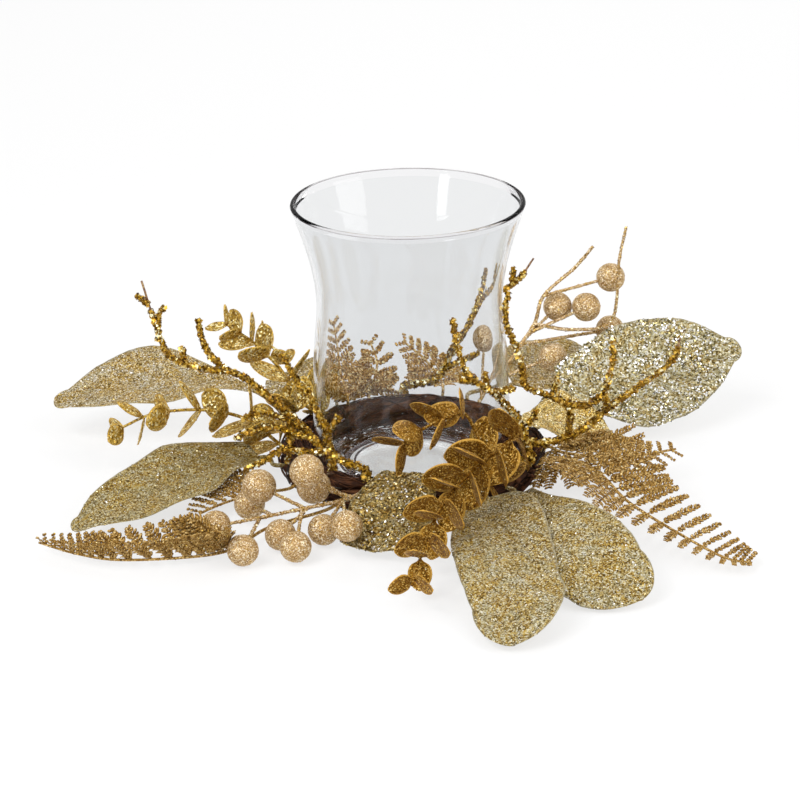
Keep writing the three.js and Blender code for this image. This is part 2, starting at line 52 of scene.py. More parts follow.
ringShape = {
    "strands": 5,
    "strandRadius": 3.0,
    "strandGap": 0.45,
    "twists": 3,
    "endGap": 5,                  # degrees between the two cut ends of a strand
    "wireRadius": 0.5,
    "wireGap": 0.3,
    "insideRadius": 51.9,         # clears the glass's belly
    "tableGap": 0.2,
    "socketDepth": 2.4,
    "stemLead": 5.0,
}
strandCircle = (ringShape["strandRadius"] + ringShape["strandGap"] / 2) / math.sin(
    math.pi / ringShape["strands"])
wireCircle = strandCircle + ringShape["strandRadius"] + ringShape["wireGap"] + ringShape["wireRadius"]
bundleRadius = wireCircle + ringShape["wireRadius"]
ringRadius = ringShape["insideRadius"] + bundleRadius
ringHeight = ringShape["tableGap"] + bundleRadius


def place(azimuth, out, height):
    # degrees round the ring, distance outside its centre line, height above the table
    reach = ringRadius + out
    a = math.radians(azimuth)
    return Vector((reach * math.cos(a), reach * math.sin(a), height))


def strandAt(i, azimuth):
    # where a strand passes, which way that is from the bundle's middle, and its angle round the bundle
    a = math.radians(azimuth)
    section = 2 * math.pi * i / ringShape["strands"] + ringShape["twists"] * a
    outward = Vector((math.cos(section) * math.cos(a), math.cos(section) * math.sin(a), math.sin(section)))
    return place(azimuth, 0, ringHeight) + outward * strandCircle, outward, section


def rootedIn(azimuth, wanted):
    # the start of a stem: in the socket of the nearest strand, at its skin and just outside it
    strand = max(range(ringShape["strands"]),
                 key=lambda i: math.cos(strandAt(i, azimuth)[2] - math.radians(wanted)))
    centre, outward, _ = strandAt(strand, azimuth)
    radius = ringShape["strandRadius"]
    return [centre + outward * d
            for d in (radius - ringShape["socketDepth"], radius, radius + ringShape["stemLead"])]


def curvePoint(points, t):
    # a smooth curve through the points, t from 0 to 1 over the whole row
    last = len(points) - 1
    k = min(int(t * last), last - 1)
    w = t * last - k
    p1, p2 = points[k], points[k + 1]
    p0 = points[k - 1] if k else p1 * 2 - p2
    p3 = points[k + 2] if k + 2 <= last else p2 * 2 - p1
    m1, m2 = (p2 - p0) / 2, (p3 - p1) / 2
    return (p1 * (2 * w ** 3 - 3 * w ** 2 + 1) + m1 * (w ** 3 - 2 * w ** 2 + w)
            + p2 * (3 * w ** 2 - 2 * w ** 3) + m2 * (w ** 3 - w ** 2))


def framesAlong(points, steps, start=0.0, end=1.0, hint=upward, ease=1.0):
    # spots along a curve: the place, the way it runs and two ways across; ease above 1 crowds the end
    near = 1e-3
    frames = []
    normal = Vector(hint)
    for i in range(steps + 1):
        t = start + (end - start) * (1 - (1 - i / steps) ** ease)
        ahead, behind = curvePoint(points, min(1, t + near)), curvePoint(points, max(0, t - near))
        tangent = (ahead - behind).normalized()
        normal = (normal - tangent * normal.dot(tangent)).normalized()
        frames.append((curvePoint(points, t), tangent, normal.copy(), normal.cross(tangent)))
    return frames


def curveLength(points, steps=60):
    dots = [curvePoint(points, i / steps) for i in range(steps + 1)]
    return sum((b - a).length for a, b in zip(dots, dots[1:]))


# meshes

chipShape = {
    "sizes": (0.6, 1.3),          # smallest and largest share of the chips' size
    "narrowing": 0.8,
    "crowdEdge": 0.15,            # how ragged the edge of a crowd is
}


class Growth:
    # a piece as it grows: vertices, faces, a slot for each face, and for each vertex two marks that the
    # materials read

    def __init__(self):
        self.verts, self.faces, self.slots, self.marks = [], [], [], []

    def skin(self, sections, marks, slot=0):
        # joins rings of vertices into a closed skin, with one mark for a ring or one for each vertex
        base, sides = len(self.verts), len(sections[0])
        for section, mark in zip(sections, marks):
            self.verts += section
            self.marks += mark if isinstance(mark, list) else [mark] * sides
        for i in range(len(sections) - 1):
            for j in range(sides):
                a = base + i * sides + j
                b = base + i * sides + (j + 1) % sides
                self.faces.append((a, b, b + sides, a + sides))
                self.slots.append(slot)
        last = base + (len(sections) - 1) * sides
        self.faces += [tuple(range(base + sides - 1, base - 1, -1)), tuple(range(last, last + sides))]
        self.slots += [slot, slot]

    def tube(self, line, steps, thick, thinning, sides, mark, slot=0, squash=1.0):
        # a thread along a line, which loses this share of its radius by its end
        spots = framesAlong(line, steps)
        self.skin([roundSection(spot, thick * (1 - thinning * n / steps), sides, squash)
                   for n, spot in enumerate(spots)],
                  [(n * mm + mark[0], mark[1]) for n in range(steps + 1)], slot)

    def stem(self, points, steps, first, last, sides):
        # a stem from one radius to another
        spots = framesAlong(points, steps, hint=stemHint)
        self.skin([roundSection(spot, first + (last - first) * i / steps, sides)
                   for i, spot in enumerate(spots)], [(0, 0)] * (steps + 1))

    def flakes(self, count, size, seed, tilt, lift, keep=None, crowd=0):
        # small four-cornered chips lying on the skin that is there so far, or on the slots to keep to,
        # and in crowds where their size is given
        pick = random.Random(seed)
        areas, faces = [], []
        for face, its in zip(self.faces, self.slots):
            if keep is not None and its not in keep:
                continue
            a, b, c = (self.verts[k] for k in face[:3])
            faces.append(face)
            areas.append((b - a).cross(c - a).length)
        for face in pick.choices(faces, areas, k=count):
            corners = [self.verts[k] for k in face[:4]]
            u, v = pick.random(), pick.random()
            a = corners[0].lerp(corners[1], u)
            b = corners[-1].lerp(corners[-2], u) if len(corners) == 4 else corners[2]
            middle = a.lerp(b, v)
            if crowd:
                density = noise.noise(middle / crowd + Vector((seed, 0, 0)))
                if density < pick.uniform(0, chipShape["crowdEdge"]):
                    continue
            normal = (corners[1] - corners[0]).cross(corners[-1] - corners[0])
            if normal.length < 1e-6:
                continue
            normal.normalize()
            normal = (normal + Vector([pick.gauss(0, tilt) for _ in range(3)])).normalized()
            across = normal.orthogonal().normalized()
            across.rotate(Quaternion(normal, pick.uniform(0, 6.3)))
            half = size * pick.uniform(*chipShape["sizes"]) / 2
            shorter = normal.cross(across) * half * chipShape["narrowing"]
            across = across * half
            middle = middle + normal * lift
            base = len(self.verts)
            self.verts += [middle + across, middle + shorter, middle - across, middle - shorter]
            self.marks += [(pick.random(), pick.random())] * 4
            self.faces.append((base, base + 1, base + 2, base + 3))
            self.slots.append(1)

    def build(self, name, materials, replaces, slotName, body="wreath"):
        mesh = bpy.data.meshes.new(name)
        mesh.from_pydata([v * mm for v in self.verts], [], self.faces)
        layer = mesh.uv_layers.new(name="marks")
        index = [0] * len(mesh.loops)
        mesh.loops.foreach_get("vertex_index", index)
        layer.data.foreach_set("uv", [x for k in index for x in self.marks[k]])
        mesh.polygons.foreach_set("material_index", self.slots)
        mesh.polygons.foreach_set("use_smooth", [True] * len(mesh.polygons))
        for material in materials:
            mesh.materials.append(material)
        piece = bpy.data.objects.new(name, mesh)
        bpy.context.scene.collection.objects.link(piece)
        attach(piece, body)
        if replaces:
            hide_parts(*replaces)


def roundSection(spot, radius, sides, squash=1.0):
    # a ring of vertices round a spot on a curve
    at, _, normal, side = spot
    return [at + side * (radius * math.cos(2 * math.pi * j / sides))
            + normal * (radius * squash * math.sin(2 * math.pi * j / sides)) for j in range(sides)]


# materials

def newMaterial(name):
    # a material with its nodes' tree, its main shader and its output
    material = bpy.data.materials.new(name)
    material.use_nodes = True
    tree = material.node_tree
    tree.nodes.clear()
    output = tree.nodes.new("ShaderNodeOutputMaterial")
    shader = tree.nodes.new("ShaderNodeBsdfPrincipled")
    tree.links.new(shader.outputs[0], output.inputs["Surface"])
    return material, tree, shader, output


def addNode(tree, kind, **values):
    node = tree.nodes.new(kind)
    for key, value in values.items():
        if key in node.inputs:
            node.inputs[key].default_value = value
        else:
            setattr(node, key, value)
    return node


def ramp(tree, source, stops):
    node = tree.nodes.new("ShaderNodeValToRGB")
    band = node.color_ramp
    while len(band.elements) < len(stops):
        band.elements.new(0.5)
    for element, (at, colour) in zip(band.elements, stops):
        element.position = at
        element.color = (*colour, 1)
    tree.links.new(source, node.inputs["Fac"])
    return node.outputs["Color"]


def mixColours(tree, factor, a, b):
    node = tree.nodes.new("ShaderNodeMix")
    node.data_type = "RGBA"
    for socket, value in (("Factor", factor), ("A", a), ("B", b)):
        target = next(s for s in node.inputs if s.name == socket and s.enabled)
        if isinstance(value, bpy.types.NodeSocket):
            tree.links.new(value, target)
        elif isinstance(value, (int, float)):
            target.default_value = value
        else:
            target.default_value = (*value, 1)
    return next(s for s in node.outputs if s.enabled)


def noiseAt(tree, where, scale, detail, roughness=0.5):
    node = addNode(tree, "ShaderNodeTexNoise", Scale=scale, Detail=detail, Roughness=roughness)
    tree.links.new(where, node.inputs["Vector"])
    return node.outputs["Fac"]


def objectPlace(tree):
    return tree.nodes.new("ShaderNodeTexCoord").outputs["Object"]


def flakeNormal(tree, cells, strength):
    # each cell of the glitter faces its own way
    geometry = tree.nodes.new("ShaderNodeNewGeometry")
    centred = addNode(tree, "ShaderNodeVectorMath", operation="SUBTRACT")
    centred.inputs[1].default_value = (0.5, 0.5, 0.5)
    tree.links.new(cells, centred.inputs[0])
    turned = addNode(tree, "ShaderNodeVectorMath", operation="MULTIPLY_ADD")
    turned.inputs[1].default_value = (strength, strength, strength)
    tree.links.new(centred.outputs[0], turned.inputs[0])
    tree.links.new(geometry.outputs["Normal"], turned.inputs[2])
    unit = addNode(tree, "ShaderNodeVectorMath", operation="NORMALIZE")
    tree.links.new(turned.outputs[0], unit.inputs[0])
    return unit.outputs[0]


def plain(*colour):
    # a screen colour of 0 to 255 as the linear colour that shaders take
    shares = [c / 255 for c in colour]
    return tuple(c / 12.92 if c <= 0.04045 else ((c + 0.055) / 1.055) ** 2.4 for c in shares)


def tinted(stops, tint):
    return [(at, tuple(c * t for c, t in zip(plain(*colour), tint))) for at, colour in stops]


def glitter(name, look):
    # cells of loose glitter in several tones, with drifts of a second set of tones along the blade; the
    # near-white top tone of each set is a painted glint on single cells
    material, tree, shader, _ = newMaterial(name)
    where = objectPlace(tree)
    cells = addNode(tree, "ShaderNodeTexVoronoi", Scale=1 / (look["flake"] * mm))
    tree.links.new(where, cells.inputs["Vector"])
    split = tree.nodes.new("ShaderNodeSeparateColor")
    tree.links.new(cells.outputs["Color"], split.inputs["Color"])
    first = ramp(tree, split.outputs["Red"], tinted(look["tones"], look["tint"]))
    second = ramp(tree, split.outputs["Red"], tinted(look["otherTones"], look["tint"]))
    if look.get("veined"):
        drift = noiseAt(tree, veinVector(tree), 1.0, 5.0, 0.7)
    else:
        drift = noiseAt(tree, where, 1 / (look["drift"] * mm), 5.0, 0.7)
    low, high = look["driftEdges"]
    share = ramp(tree, drift, [(low, (0, 0, 0)), (high, (1, 1, 1))])
    colour = mixColours(tree, share, first, second)
    if "rim" in look:
        colour = bladeEdge(tree, colour, look)
    tree.links.new(colour, shader.inputs["Base Color"])
    rough = addNode(tree, "ShaderNodeMapRange")
    rough.inputs["To Min"].default_value, rough.inputs["To Max"].default_value = look["roughness"]
    tree.links.new(split.outputs["Green"], rough.inputs["Value"])
    tree.links.new(rough.outputs[0], shader.inputs["Roughness"])
    tree.links.new(flakeNormal(tree, cells.outputs["Color"], look["sparkle"]), shader.inputs["Normal"])
    shader.inputs["Metallic"].default_value = look["metallic"]
    shader.inputs["Specular Tint"].default_value = (*plain(*look["shine"]), 1)
    return material


veinLook = {"slant": -0.28, "stretch": (14, 2.2, 1)}


def bladeMarks(tree):
    # the two marks of each vertex: how far along its blade and how far across it
    marks = addNode(tree, "ShaderNodeUVMap", uv_map="marks")
    split = tree.nodes.new("ShaderNodeSeparateXYZ")
    tree.links.new(marks.outputs[0], split.inputs[0])
    return split.outputs


def veinVector(tree):
    # a place on the blade that runs along its slanting veins
    marks = bladeMarks(tree)
    along = addNode(tree, "ShaderNodeMath", operation="MULTIPLY_ADD")
    along.inputs[1].default_value = veinLook["slant"]
    tree.links.new(marks["Y"], along.inputs[0])
    tree.links.new(marks["X"], along.inputs[2])
    joined = tree.nodes.new("ShaderNodeCombineXYZ")
    tree.links.new(along.outputs[0], joined.inputs["X"])
    tree.links.new(marks["Y"], joined.inputs["Y"])
    stretch = addNode(tree, "ShaderNodeMapping")
    stretch.inputs["Scale"].default_value = veinLook["stretch"]
    tree.links.new(joined.outputs[0], stretch.inputs["Vector"])
    return stretch.outputs[0]


def bladeEdge(tree, colour, look):
    # lightens the rim of a blade, where the mark across it nears 1
    start = look["rimFrom"]
    stops = [(start, (0, 0, 0)), (min(1, start + look["rimFade"]), (look["rimShare"],) * 3)]
    return mixColours(tree, ramp(tree, bladeMarks(tree)["Y"], stops), colour, plain(*look["rim"]))


# Tones of the glitter cells: the near-white top stop of each set, here and in the finishes below, is a
# painted glint, and the rest is the glitter's own colour.
goldTones = [
    (0.0, (58, 36, 0)), (0.24, (132, 96, 26)), (0.5, (186, 150, 64)), (0.78, (222, 196, 114)),
    (0.93, (255, 250, 220))]
silverTones = [
    (0.0, (84, 70, 30)), (0.25, (142, 128, 82)), (0.5, (192, 182, 140)), (0.8, (222, 216, 184)),
    (0.92, (255, 255, 248))]
fineLook = {
    "flake": 0.62,                # size of a cell of glitter
    "drift": 11,                  # size of the drifts of the other tones
    "driftEdges": (0.44, 0.62),
    "tones": goldTones, "otherTones": silverTones, "tint": (1, 1, 1),
    "roughness": (0.3, 0.65), "sparkle": 0.75, "metallic": 0.3, "shine": (255, 228, 160),
    "rimFrom": 0.8, "rimFade": 0.14, "rimShare": 0.85,
}
leafLook = dict(fineLook, veined=True, rim=(206, 196, 164), rimFrom=0.955)
finishes = {
    "frontLeaf": glitter("fineGlitterLeaf", dict(leafLook, tint=(0.68, 0.665, 0.63))),
    "paleLeaf": glitter("paleGlitterLeaf", dict(leafLook, flake=0.5, tint=(0.73, 0.70, 0.72))),
    # The gold leaf: its golden hue is its own, and its brighter base is painted light, offsetting the shade
    # that it lies in.
    "goldLeaf": glitter("goldGlitterLeafWithPaintedLight", dict(leafLook, flake=0.55, tint=(1.02, 0.94, 0.72))),
    "oliveLeaf": glitter("oliveGlitterLeaf", dict(leafLook, flake=0.55, tint=(0.58, 0.555, 0.48))),
    "coarseLeaf": glitter("coarseGlitterLeaf", dict(
        leafLook, flake=0.8, driftEdges=(0.34, 0.56), sparkle=0.9, roughness=(0.25, 0.5),
        metallic=0.35, tint=(0.70, 0.70, 0.71))),
    "darkLeaf": glitter("darkGlitterLeaf", dict(
        leafLook, flake=0.9, sparkle=1.1, roughness=(0.2, 0.5), metallic=0.4, tint=(0.58, 0.51, 0.38))),
    # Two copies of one eucalyptus glitter: the first, for the sprigs at the front, has darker tones that hold
    # painted shade; the second, for those on the left and at the back, has brighter, whiter tones and larger
    # flakes that hold painted light.
    "eucalyptus": glitter("paintedShadeEucalyptusGlitter", dict(
        fineLook, flake=0.55, drift=7, driftEdges=(0.45, 0.75), metallic=0.25, sparkle=0.7,
        shine=(255, 200, 110),
        tones=[(0, (58, 32, 0)), (0.35, (104, 66, 10)), (0.75, (144, 100, 28)), (0.97, (220, 182, 96))],
        otherTones=[(0, (84, 52, 4)), (0.35, (132, 90, 20)), (0.8, (174, 132, 52)), (0.97, (245, 215, 140))],
        rim=(214, 166, 76))),
    "paintedLitEucalyptus": glitter("paintedLitEucalyptusGlitter", dict(
        fineLook, flake=0.9, drift=9, driftEdges=(0.35, 0.65), metallic=0.45, sparkle=1.1,
        roughness=(0.2, 0.5), shine=(255, 220, 140),
        tones=[(0, (90, 60, 6)), (0.25, (150, 112, 30)), (0.55, (190, 150, 58)), (0.85, (224, 192, 104)),
               (0.96, (255, 246, 190))],
        otherTones=[(0, (106, 76, 14)), (0.3, (166, 132, 50)), (0.7, (206, 176, 90)),
                    (0.94, (255, 250, 208))],
        rim=(214, 174, 84))),
    "fern": glitter("fernGlitter", dict(
        fineLook, flake=0.7, drift=6, driftEdges=(0.35, 0.7), metallic=0.3, sparkle=0.9,
        shine=(255, 205, 130),
        tones=[(0, (86, 56, 16)), (0.4, (138, 102, 44)), (0.8, (180, 142, 76)), (0.96, (240, 216, 160))],
        otherTones=[(0, (110, 78, 28)), (0.5, (162, 126, 64)), (0.95, (218, 188, 126))])),
    # A copy of the fern finish for the ferns behind the glass, with brighter tones: painted light, in place
    # of the light that these ferns hardly get.
    "farFernPaintedLight": glitter("farFernPaintedLightGlitter", dict(
        fineLook, flake=0.9, drift=6, driftEdges=(0.35, 0.7), metallic=0.4, sparkle=1.1,
        shine=(255, 215, 150),
        tones=[(0, (120, 76, 20)), (0.35, (176, 132, 62)), (0.7, (216, 172, 96)), (0.92, (255, 240, 190))],
        otherTones=[(0, (140, 98, 36)), (0.5, (196, 152, 84)), (0.92, (246, 220, 160))])),
    "berry": glitter("berryGlitter", dict(
        fineLook, flake=0.5, drift=6, driftEdges=(0.3, 0.75), sparkle=0.75, metallic=0.25,
        shine=(255, 232, 190),
        tones=[(0, (120, 82, 34)), (0.3, (160, 124, 72)), (0.7, (196, 164, 114)), (0.93, (246, 230, 198))],
        otherTones=[(0, (140, 102, 54)), (0.4, (186, 152, 102)), (0.8, (216, 188, 142)),
                    (0.95, (255, 248, 230))])),
    "twig": glitter("twigGlitter", dict(
        fineLook, flake=1.0, drift=2.5, driftEdges=(0.48, 0.56), sparkle=1.2, metallic=0.5,
        roughness=(0.2, 0.5), shine=(255, 215, 120),
        tones=[(0, (110, 72, 0)), (0.4, (176, 132, 24)), (0.8, (224, 184, 70)), (0.95, (255, 244, 170))],
        otherTones=[(0, (36, 18, 0)), (0.6, (96, 62, 4)), (0.95, (190, 150, 50))])),
}


glintClusterLook = {"size": 14, "edges": (0.35, 0.65), "shares": (0.72, 1.12)}   # where the chips' tones are lifted, so that more of them reach the white top of their ramp: clusters of painted glints


def chipMaterial(name, stops, metallic=0.6, roughness=0.3):
    # loose chips: each has its own tone and really reflects, being partly metallic, and the white top of each
    # ramp is a painted glint; the tones are lifted in clusters, so these painted glints crowd together
    material, tree, shader, _ = newMaterial(name)
    crowd = noiseAt(tree, objectPlace(tree), 1 / (glintClusterLook["size"] * mm), 2.0)
    lifted = addNode(tree, "ShaderNodeMapRange")
    lifted.inputs["From Min"].default_value, lifted.inputs["From Max"].default_value = glintClusterLook["edges"]
    lifted.inputs["To Min"].default_value, lifted.inputs["To Max"].default_value = glintClusterLook["shares"]
    tree.links.new(crowd, lifted.inputs["Value"])
    tone = addNode(tree, "ShaderNodeMath", operation="MULTIPLY")
    tree.links.new(bladeMarks(tree)["X"], tone.inputs[0])
    tree.links.new(lifted.outputs[0], tone.inputs[1])
    colours = ramp(tree, tone.outputs[0], [(at, plain(*colour)) for at, colour in stops])
    tree.links.new(colours, shader.inputs["Base Color"])
    shader.inputs["Metallic"].default_value = metallic
    shader.inputs["Roughness"].default_value = roughness
    return material


# The white top stop of each chip ramp is a painted glint.
finishes["silverChip"] = chipMaterial("silverGoldChip", [
    (0, (96, 76, 26)), (0.3, (150, 128, 66)), (0.6, (204, 180, 104)), (0.78, (222, 212, 170)),
    (0.84, (255, 255, 255))])
finishes["coarseChip"] = chipMaterial("coarseSilverChip", [
    (0, (74, 66, 36)), (0.3, (140, 130, 88)), (0.5, (196, 184, 132)), (0.56, (226, 220, 196)),
    (0.6, (255, 255, 255))], metallic=0.85, roughness=0.22)
finishes["darkChip"] = chipMaterial("darkSilverChip", [
    (0, (56, 42, 12)), (0.35, (116, 96, 44)), (0.62, (176, 150, 76)), (0.78, (206, 196, 160)),
    (0.84, (255, 255, 255))])
finishes["goldChip"] = chipMaterial("goldChip", [
    (0, (70, 42, 0)), (0.3, (150, 108, 16)), (0.62, (214, 170, 60)), (0.8, (240, 212, 120)),
    (0.88, (255, 252, 214))])


barkLook = {
    "stretch": (90, 5, 1),        # the grain's scale along the vine and round it
    "tones": [(0.32, (22, 12, 8)), (0.48, (56, 32, 20)), (0.60, (98, 60, 36)), (0.74, (168, 122, 84))],
    "patchScale": 70.0, "patchEdges": (0.66, 0.72), "patchShare": 0.8, "patchColour": (176, 150, 124),
    "bump": 0.6, "bumpDepth": 0.6, "roughness": 0.75, "specular": 0.15,
}


def barkMaterial(look):
    material, tree, shader, _ = newMaterial("vineBark")
    marks = addNode(tree, "ShaderNodeUVMap", uv_map="marks")   # along in metres, round in turns
    stretch = addNode(tree, "ShaderNodeMapping")
    stretch.inputs["Scale"].default_value = look["stretch"]
    tree.links.new(marks.outputs[0], stretch.inputs["Vector"])
    grain = noiseAt(tree, stretch.outputs[0], 1.0, 6.0, 0.65)
    colour = ramp(tree, grain, [(at, plain(*tone)) for at, tone in look["tones"]])
    low, high = look["patchEdges"]
    patches = noiseAt(tree, objectPlace(tree), look["patchScale"], 4.0, 0.6)
    pale = ramp(tree, patches, [(low, (0, 0, 0)), (high, (look["patchShare"],) * 3)])
    colour = mixColours(tree, pale, colour, plain(*look["patchColour"]))
    tree.links.new(colour, shader.inputs["Base Color"])
    bump = addNode(tree, "ShaderNodeBump", Strength=look["bump"], Distance=look["bumpDepth"] * mm)
    tree.links.new(grain, bump.inputs["Height"])
    tree.links.new(bump.outputs[0], shader.inputs["Normal"])
    shader.inputs["Roughness"].default_value = look["roughness"]
    shader.inputs["Specular IOR Level"].default_value = look["specular"]
    return material


def grainMaterial(name, scale, detail, stops, metallic, roughness):
    # a fine grain in a few tones, for bare wire and bare twigs
    material, tree, shader, _ = newMaterial(name)
    colour = ramp(tree, noiseAt(tree, objectPlace(tree), scale, detail), stops)
    tree.links.new(colour, shader.inputs["Base Color"])
    shader.inputs["Metallic"].default_value = metallic
    shader.inputs["Roughness"].default_value = roughness
    return material


glassLook = {
    "tint": (0.85, 0.858, 0.864), "baseTint": (0.66, 0.65, 0.63), "rimTint": (0.96, 0.95, 0.96),
    "shadowTint": (0.93, 0.94, 0.95), "ior": 1.28, "rimIor": 1.1, "roughness": 0.0,
    # the painted reflection lines: their grey, and how strongly they show on the rim's bead and on the
    # moulded rings
    "reflectionLineColour": (92, 80, 84), "lineRoughness": 0.25, "reflectionLineShares": (0.6, 1.3),
    "rimReflectionLine": 0.45, "mouldReflectionLine": 0.45,
}


def glassMaterial(name, tint, ior):
    # clear glass that lets light through to the table
    material, tree, shader, output = newMaterial(name)
    shader.inputs["Base Color"].default_value = (*tint, 1)
    shader.inputs["Transmission Weight"].default_value = 1.0
    shader.inputs["Roughness"].default_value = glassLook["roughness"]
    shader.inputs["IOR"].default_value = ior
    clear = addNode(tree, "ShaderNodeBsdfTransparent", Color=(*glassLook["shadowTint"], 1))
    path = tree.nodes.new("ShaderNodeLightPath")
    blend = tree.nodes.new("ShaderNodeMixShader")
    tree.links.new(path.outputs["Is Shadow Ray"], blend.inputs[0])
    tree.links.new(shader.outputs[0], blend.inputs[1])
    tree.links.new(clear.outputs[0], blend.inputs[2])
    tree.links.new(blend.outputs[0], output.inputs["Surface"])
    return material


def reflectionLineMaterial(name, share):
    # painted reflections: fine grey lines on the fire-polished rim and on the rings in the moulded base,
    # which stand in for the dark lines that these curved edges reflect and bend
    material, tree, shader, _ = newMaterial(name)
    faint, strong = glassLook["reflectionLineShares"]
    # the painted reflection lines are stronger in some places than in others
    reflectionLineFade = noiseAt(tree, objectPlace(tree), 60.0, 2.0)
    lines = ramp(tree, reflectionLineFade, [(0.3, (share * faint,) * 3), (0.7, (share * strong,) * 3)])
    tree.links.new(lines, shader.inputs["Alpha"])
    shader.inputs["Base Color"].default_value = (*plain(*glassLook["reflectionLineColour"]), 1)
    shader.inputs["Roughness"].default_value = glassLook["lineRoughness"]
    return material


finishes["bark"] = barkMaterial(barkLook)
finishes["wire"] = grainMaterial("blackWire", 900.0, 3.0, [
    (0.3, (0.008, 0.007, 0.006)), (0.75, (0.06, 0.045, 0.035))], metallic=0.5, roughness=0.42)
finishes["bareTwig"] = grainMaterial("bareTwig", 600.0, 4.0, [
    (0.3, (0.10, 0.04, 0.02)), (0.55, (0.25, 0.13, 0.06)), (0.75, (0.62, 0.44, 0.18))],
    metallic=0.2, roughness=0.55)
finishes["glass"] = glassMaterial("clearGlass", glassLook["tint"], glassLook["ior"])
finishes["glassBase"] = glassMaterial("clearGlassBase", glassLook["baseTint"], glassLook["ior"])
finishes["rimGlass"] = glassMaterial("clearRim", glassLook["rimTint"], glassLook["rimIor"])
# painted reflection lines, on the rim's bead and on the moulded rings
finishes["rim"] = reflectionLineMaterial("glassRim", glassLook["rimReflectionLine"])
finishes["mouldReflectionLine"] = reflectionLineMaterial("mouldReflectionLine", glassLook["mouldReflectionLine"])
print("materials made:", len(finishes))


# the glass

glassShape = {
    "height": 148, "rimRadius": 60, "rimBead": 1.3, "wall": 2.2, "floor": 6, "cornerRise": 1.2,
    "footFlat": 20,               # radius of the level middle of the foot
    "outline": [(33, 0), (44.4, 1.62), (49.98, 5.58), (51.6, 14), (50.4, 62), (48, 95), (51.4, 119)],
    "facets": 160, "outlineSteps": 70, "beadSteps": 8,
    "mouldRings": [
        (42, 1.2), (40, 0.5), (38.5, 0.4), (37.5, 1.1), (36.5, 0.2), (33, 0.0), (31.5, 0.1), (30.6, 0.8),
        (29.7, 0.1), (20, 0)],
    "reflectionLineRows": [2, 4, 7],        # the rows of the moulded rings that get painted reflection lines
    "rimReflectionLineRows": [0, 5],        # and those of the rim's bead
}


def splineThrough(points, steps):
    dots = [Vector((x, y, 0)) for x, y in points]
    return [tuple(curvePoint(dots, i / steps))[:2] for i in range(steps + 1)]


def rowFinish(shape, fromBead, fromFloor, beadRows):
    # the finish of a row of faces, counted from the start of the bead and from the floor's corner
    if fromFloor in shape["reflectionLineRows"]:
        return "mouldReflectionLine"
    if fromBead in shape["rimReflectionLineRows"]:
        return "rim"
    if fromFloor >= 0:
        return "glassBase"
    return "rimGlass" if 0 <= fromBead <= beadRows else "glass"


def makeGlass(shape):
    axis = 0.01
    height, rim, bead = shape["height"], shape["rimRadius"], shape["rimBead"]
    outer = splineThrough(shape["outline"] + [(rim, height - bead)], shape["outlineSteps"])
    steps = shape["beadSteps"]
    lip = [(rim - bead + bead * math.cos(a), height - bead + bead * math.sin(a))
           for a in (math.pi * k / steps for k in range(1, steps))]
    corner = shape["floor"] + shape["cornerRise"]
    inner = [(r - shape["wall"], z) for r, z in reversed(outer[:-1]) if z > corner]
    floor = [(r, shape["floor"] + rise) for r, rise in shape["mouldRings"]]
    foot = [(axis, 0.0), (shape["footFlat"], 0.0)]
    profile = foot + outer + lip + inner + floor + [(axis, shape["floor"])]
    turns = [2 * math.pi * k / shape["facets"] for k in range(shape["facets"])]
    growth = Growth()
    growth.skin([[Vector((r * math.cos(a), r * math.sin(a), z)) for a in turns] for r, z in profile],
                [(0, 0)] * len(profile))
    # "rim" is the slot of the painted reflection lines on the rim's bead
    kinds = ["glass", "rim", "glassBase", "mouldReflectionLine", "rimGlass"]
    beadStart = len(foot) + len(outer) - 1
    floorStart = len(profile) - len(floor) - 1
    for row in range(len(profile) - 1):
        slot = kinds.index(rowFinish(shape, row - beadStart, row - floorStart, len(lip)))
        for k in range(row * shape["facets"], (row + 1) * shape["facets"]):
            growth.slots[k] = slot
    growth.slots[-1] = kinds.index("glassBase")
    growth.build("clearGlass", [finishes[kind] for kind in kinds], ["glass"], "clear_glass", body="glass")


makeGlass(glassShape)
print("glass made")


# the vine ring

barkShape = {
    "sides": 14, "steps": 420, "curvePoints": 120, "lengthSteps": 240,
    "groove": 0.35, "grooveLength": 14, "grooveRound": 1.6,
    "swell": 0.15, "swellLength": 9, "shrunk": 0.06, "widest": 1.14,
    "cutShare": 0.6, "taper": 0.2, "taperDegrees": 5.5,
}


def barkRadius(i, radius, along, turn):
    # grooves that wander along the vine, and slow swellings
    fine = barkShape["grooveRound"]
    groove = noise.noise(Vector((math.cos(turn) * fine, math.sin(turn) * fine,
                                 along / barkShape["grooveLength"] + 31 * i)))
    swell = noise.noise(Vector((along / barkShape["swellLength"] + 17 * i, 5, 2)))
    r = radius * (1 + barkShape["groove"] * groove - barkShape["shrunk"] + barkShape["swell"] * swell)
    return min(r, ringShape["strandRadius"] * barkShape["widest"])


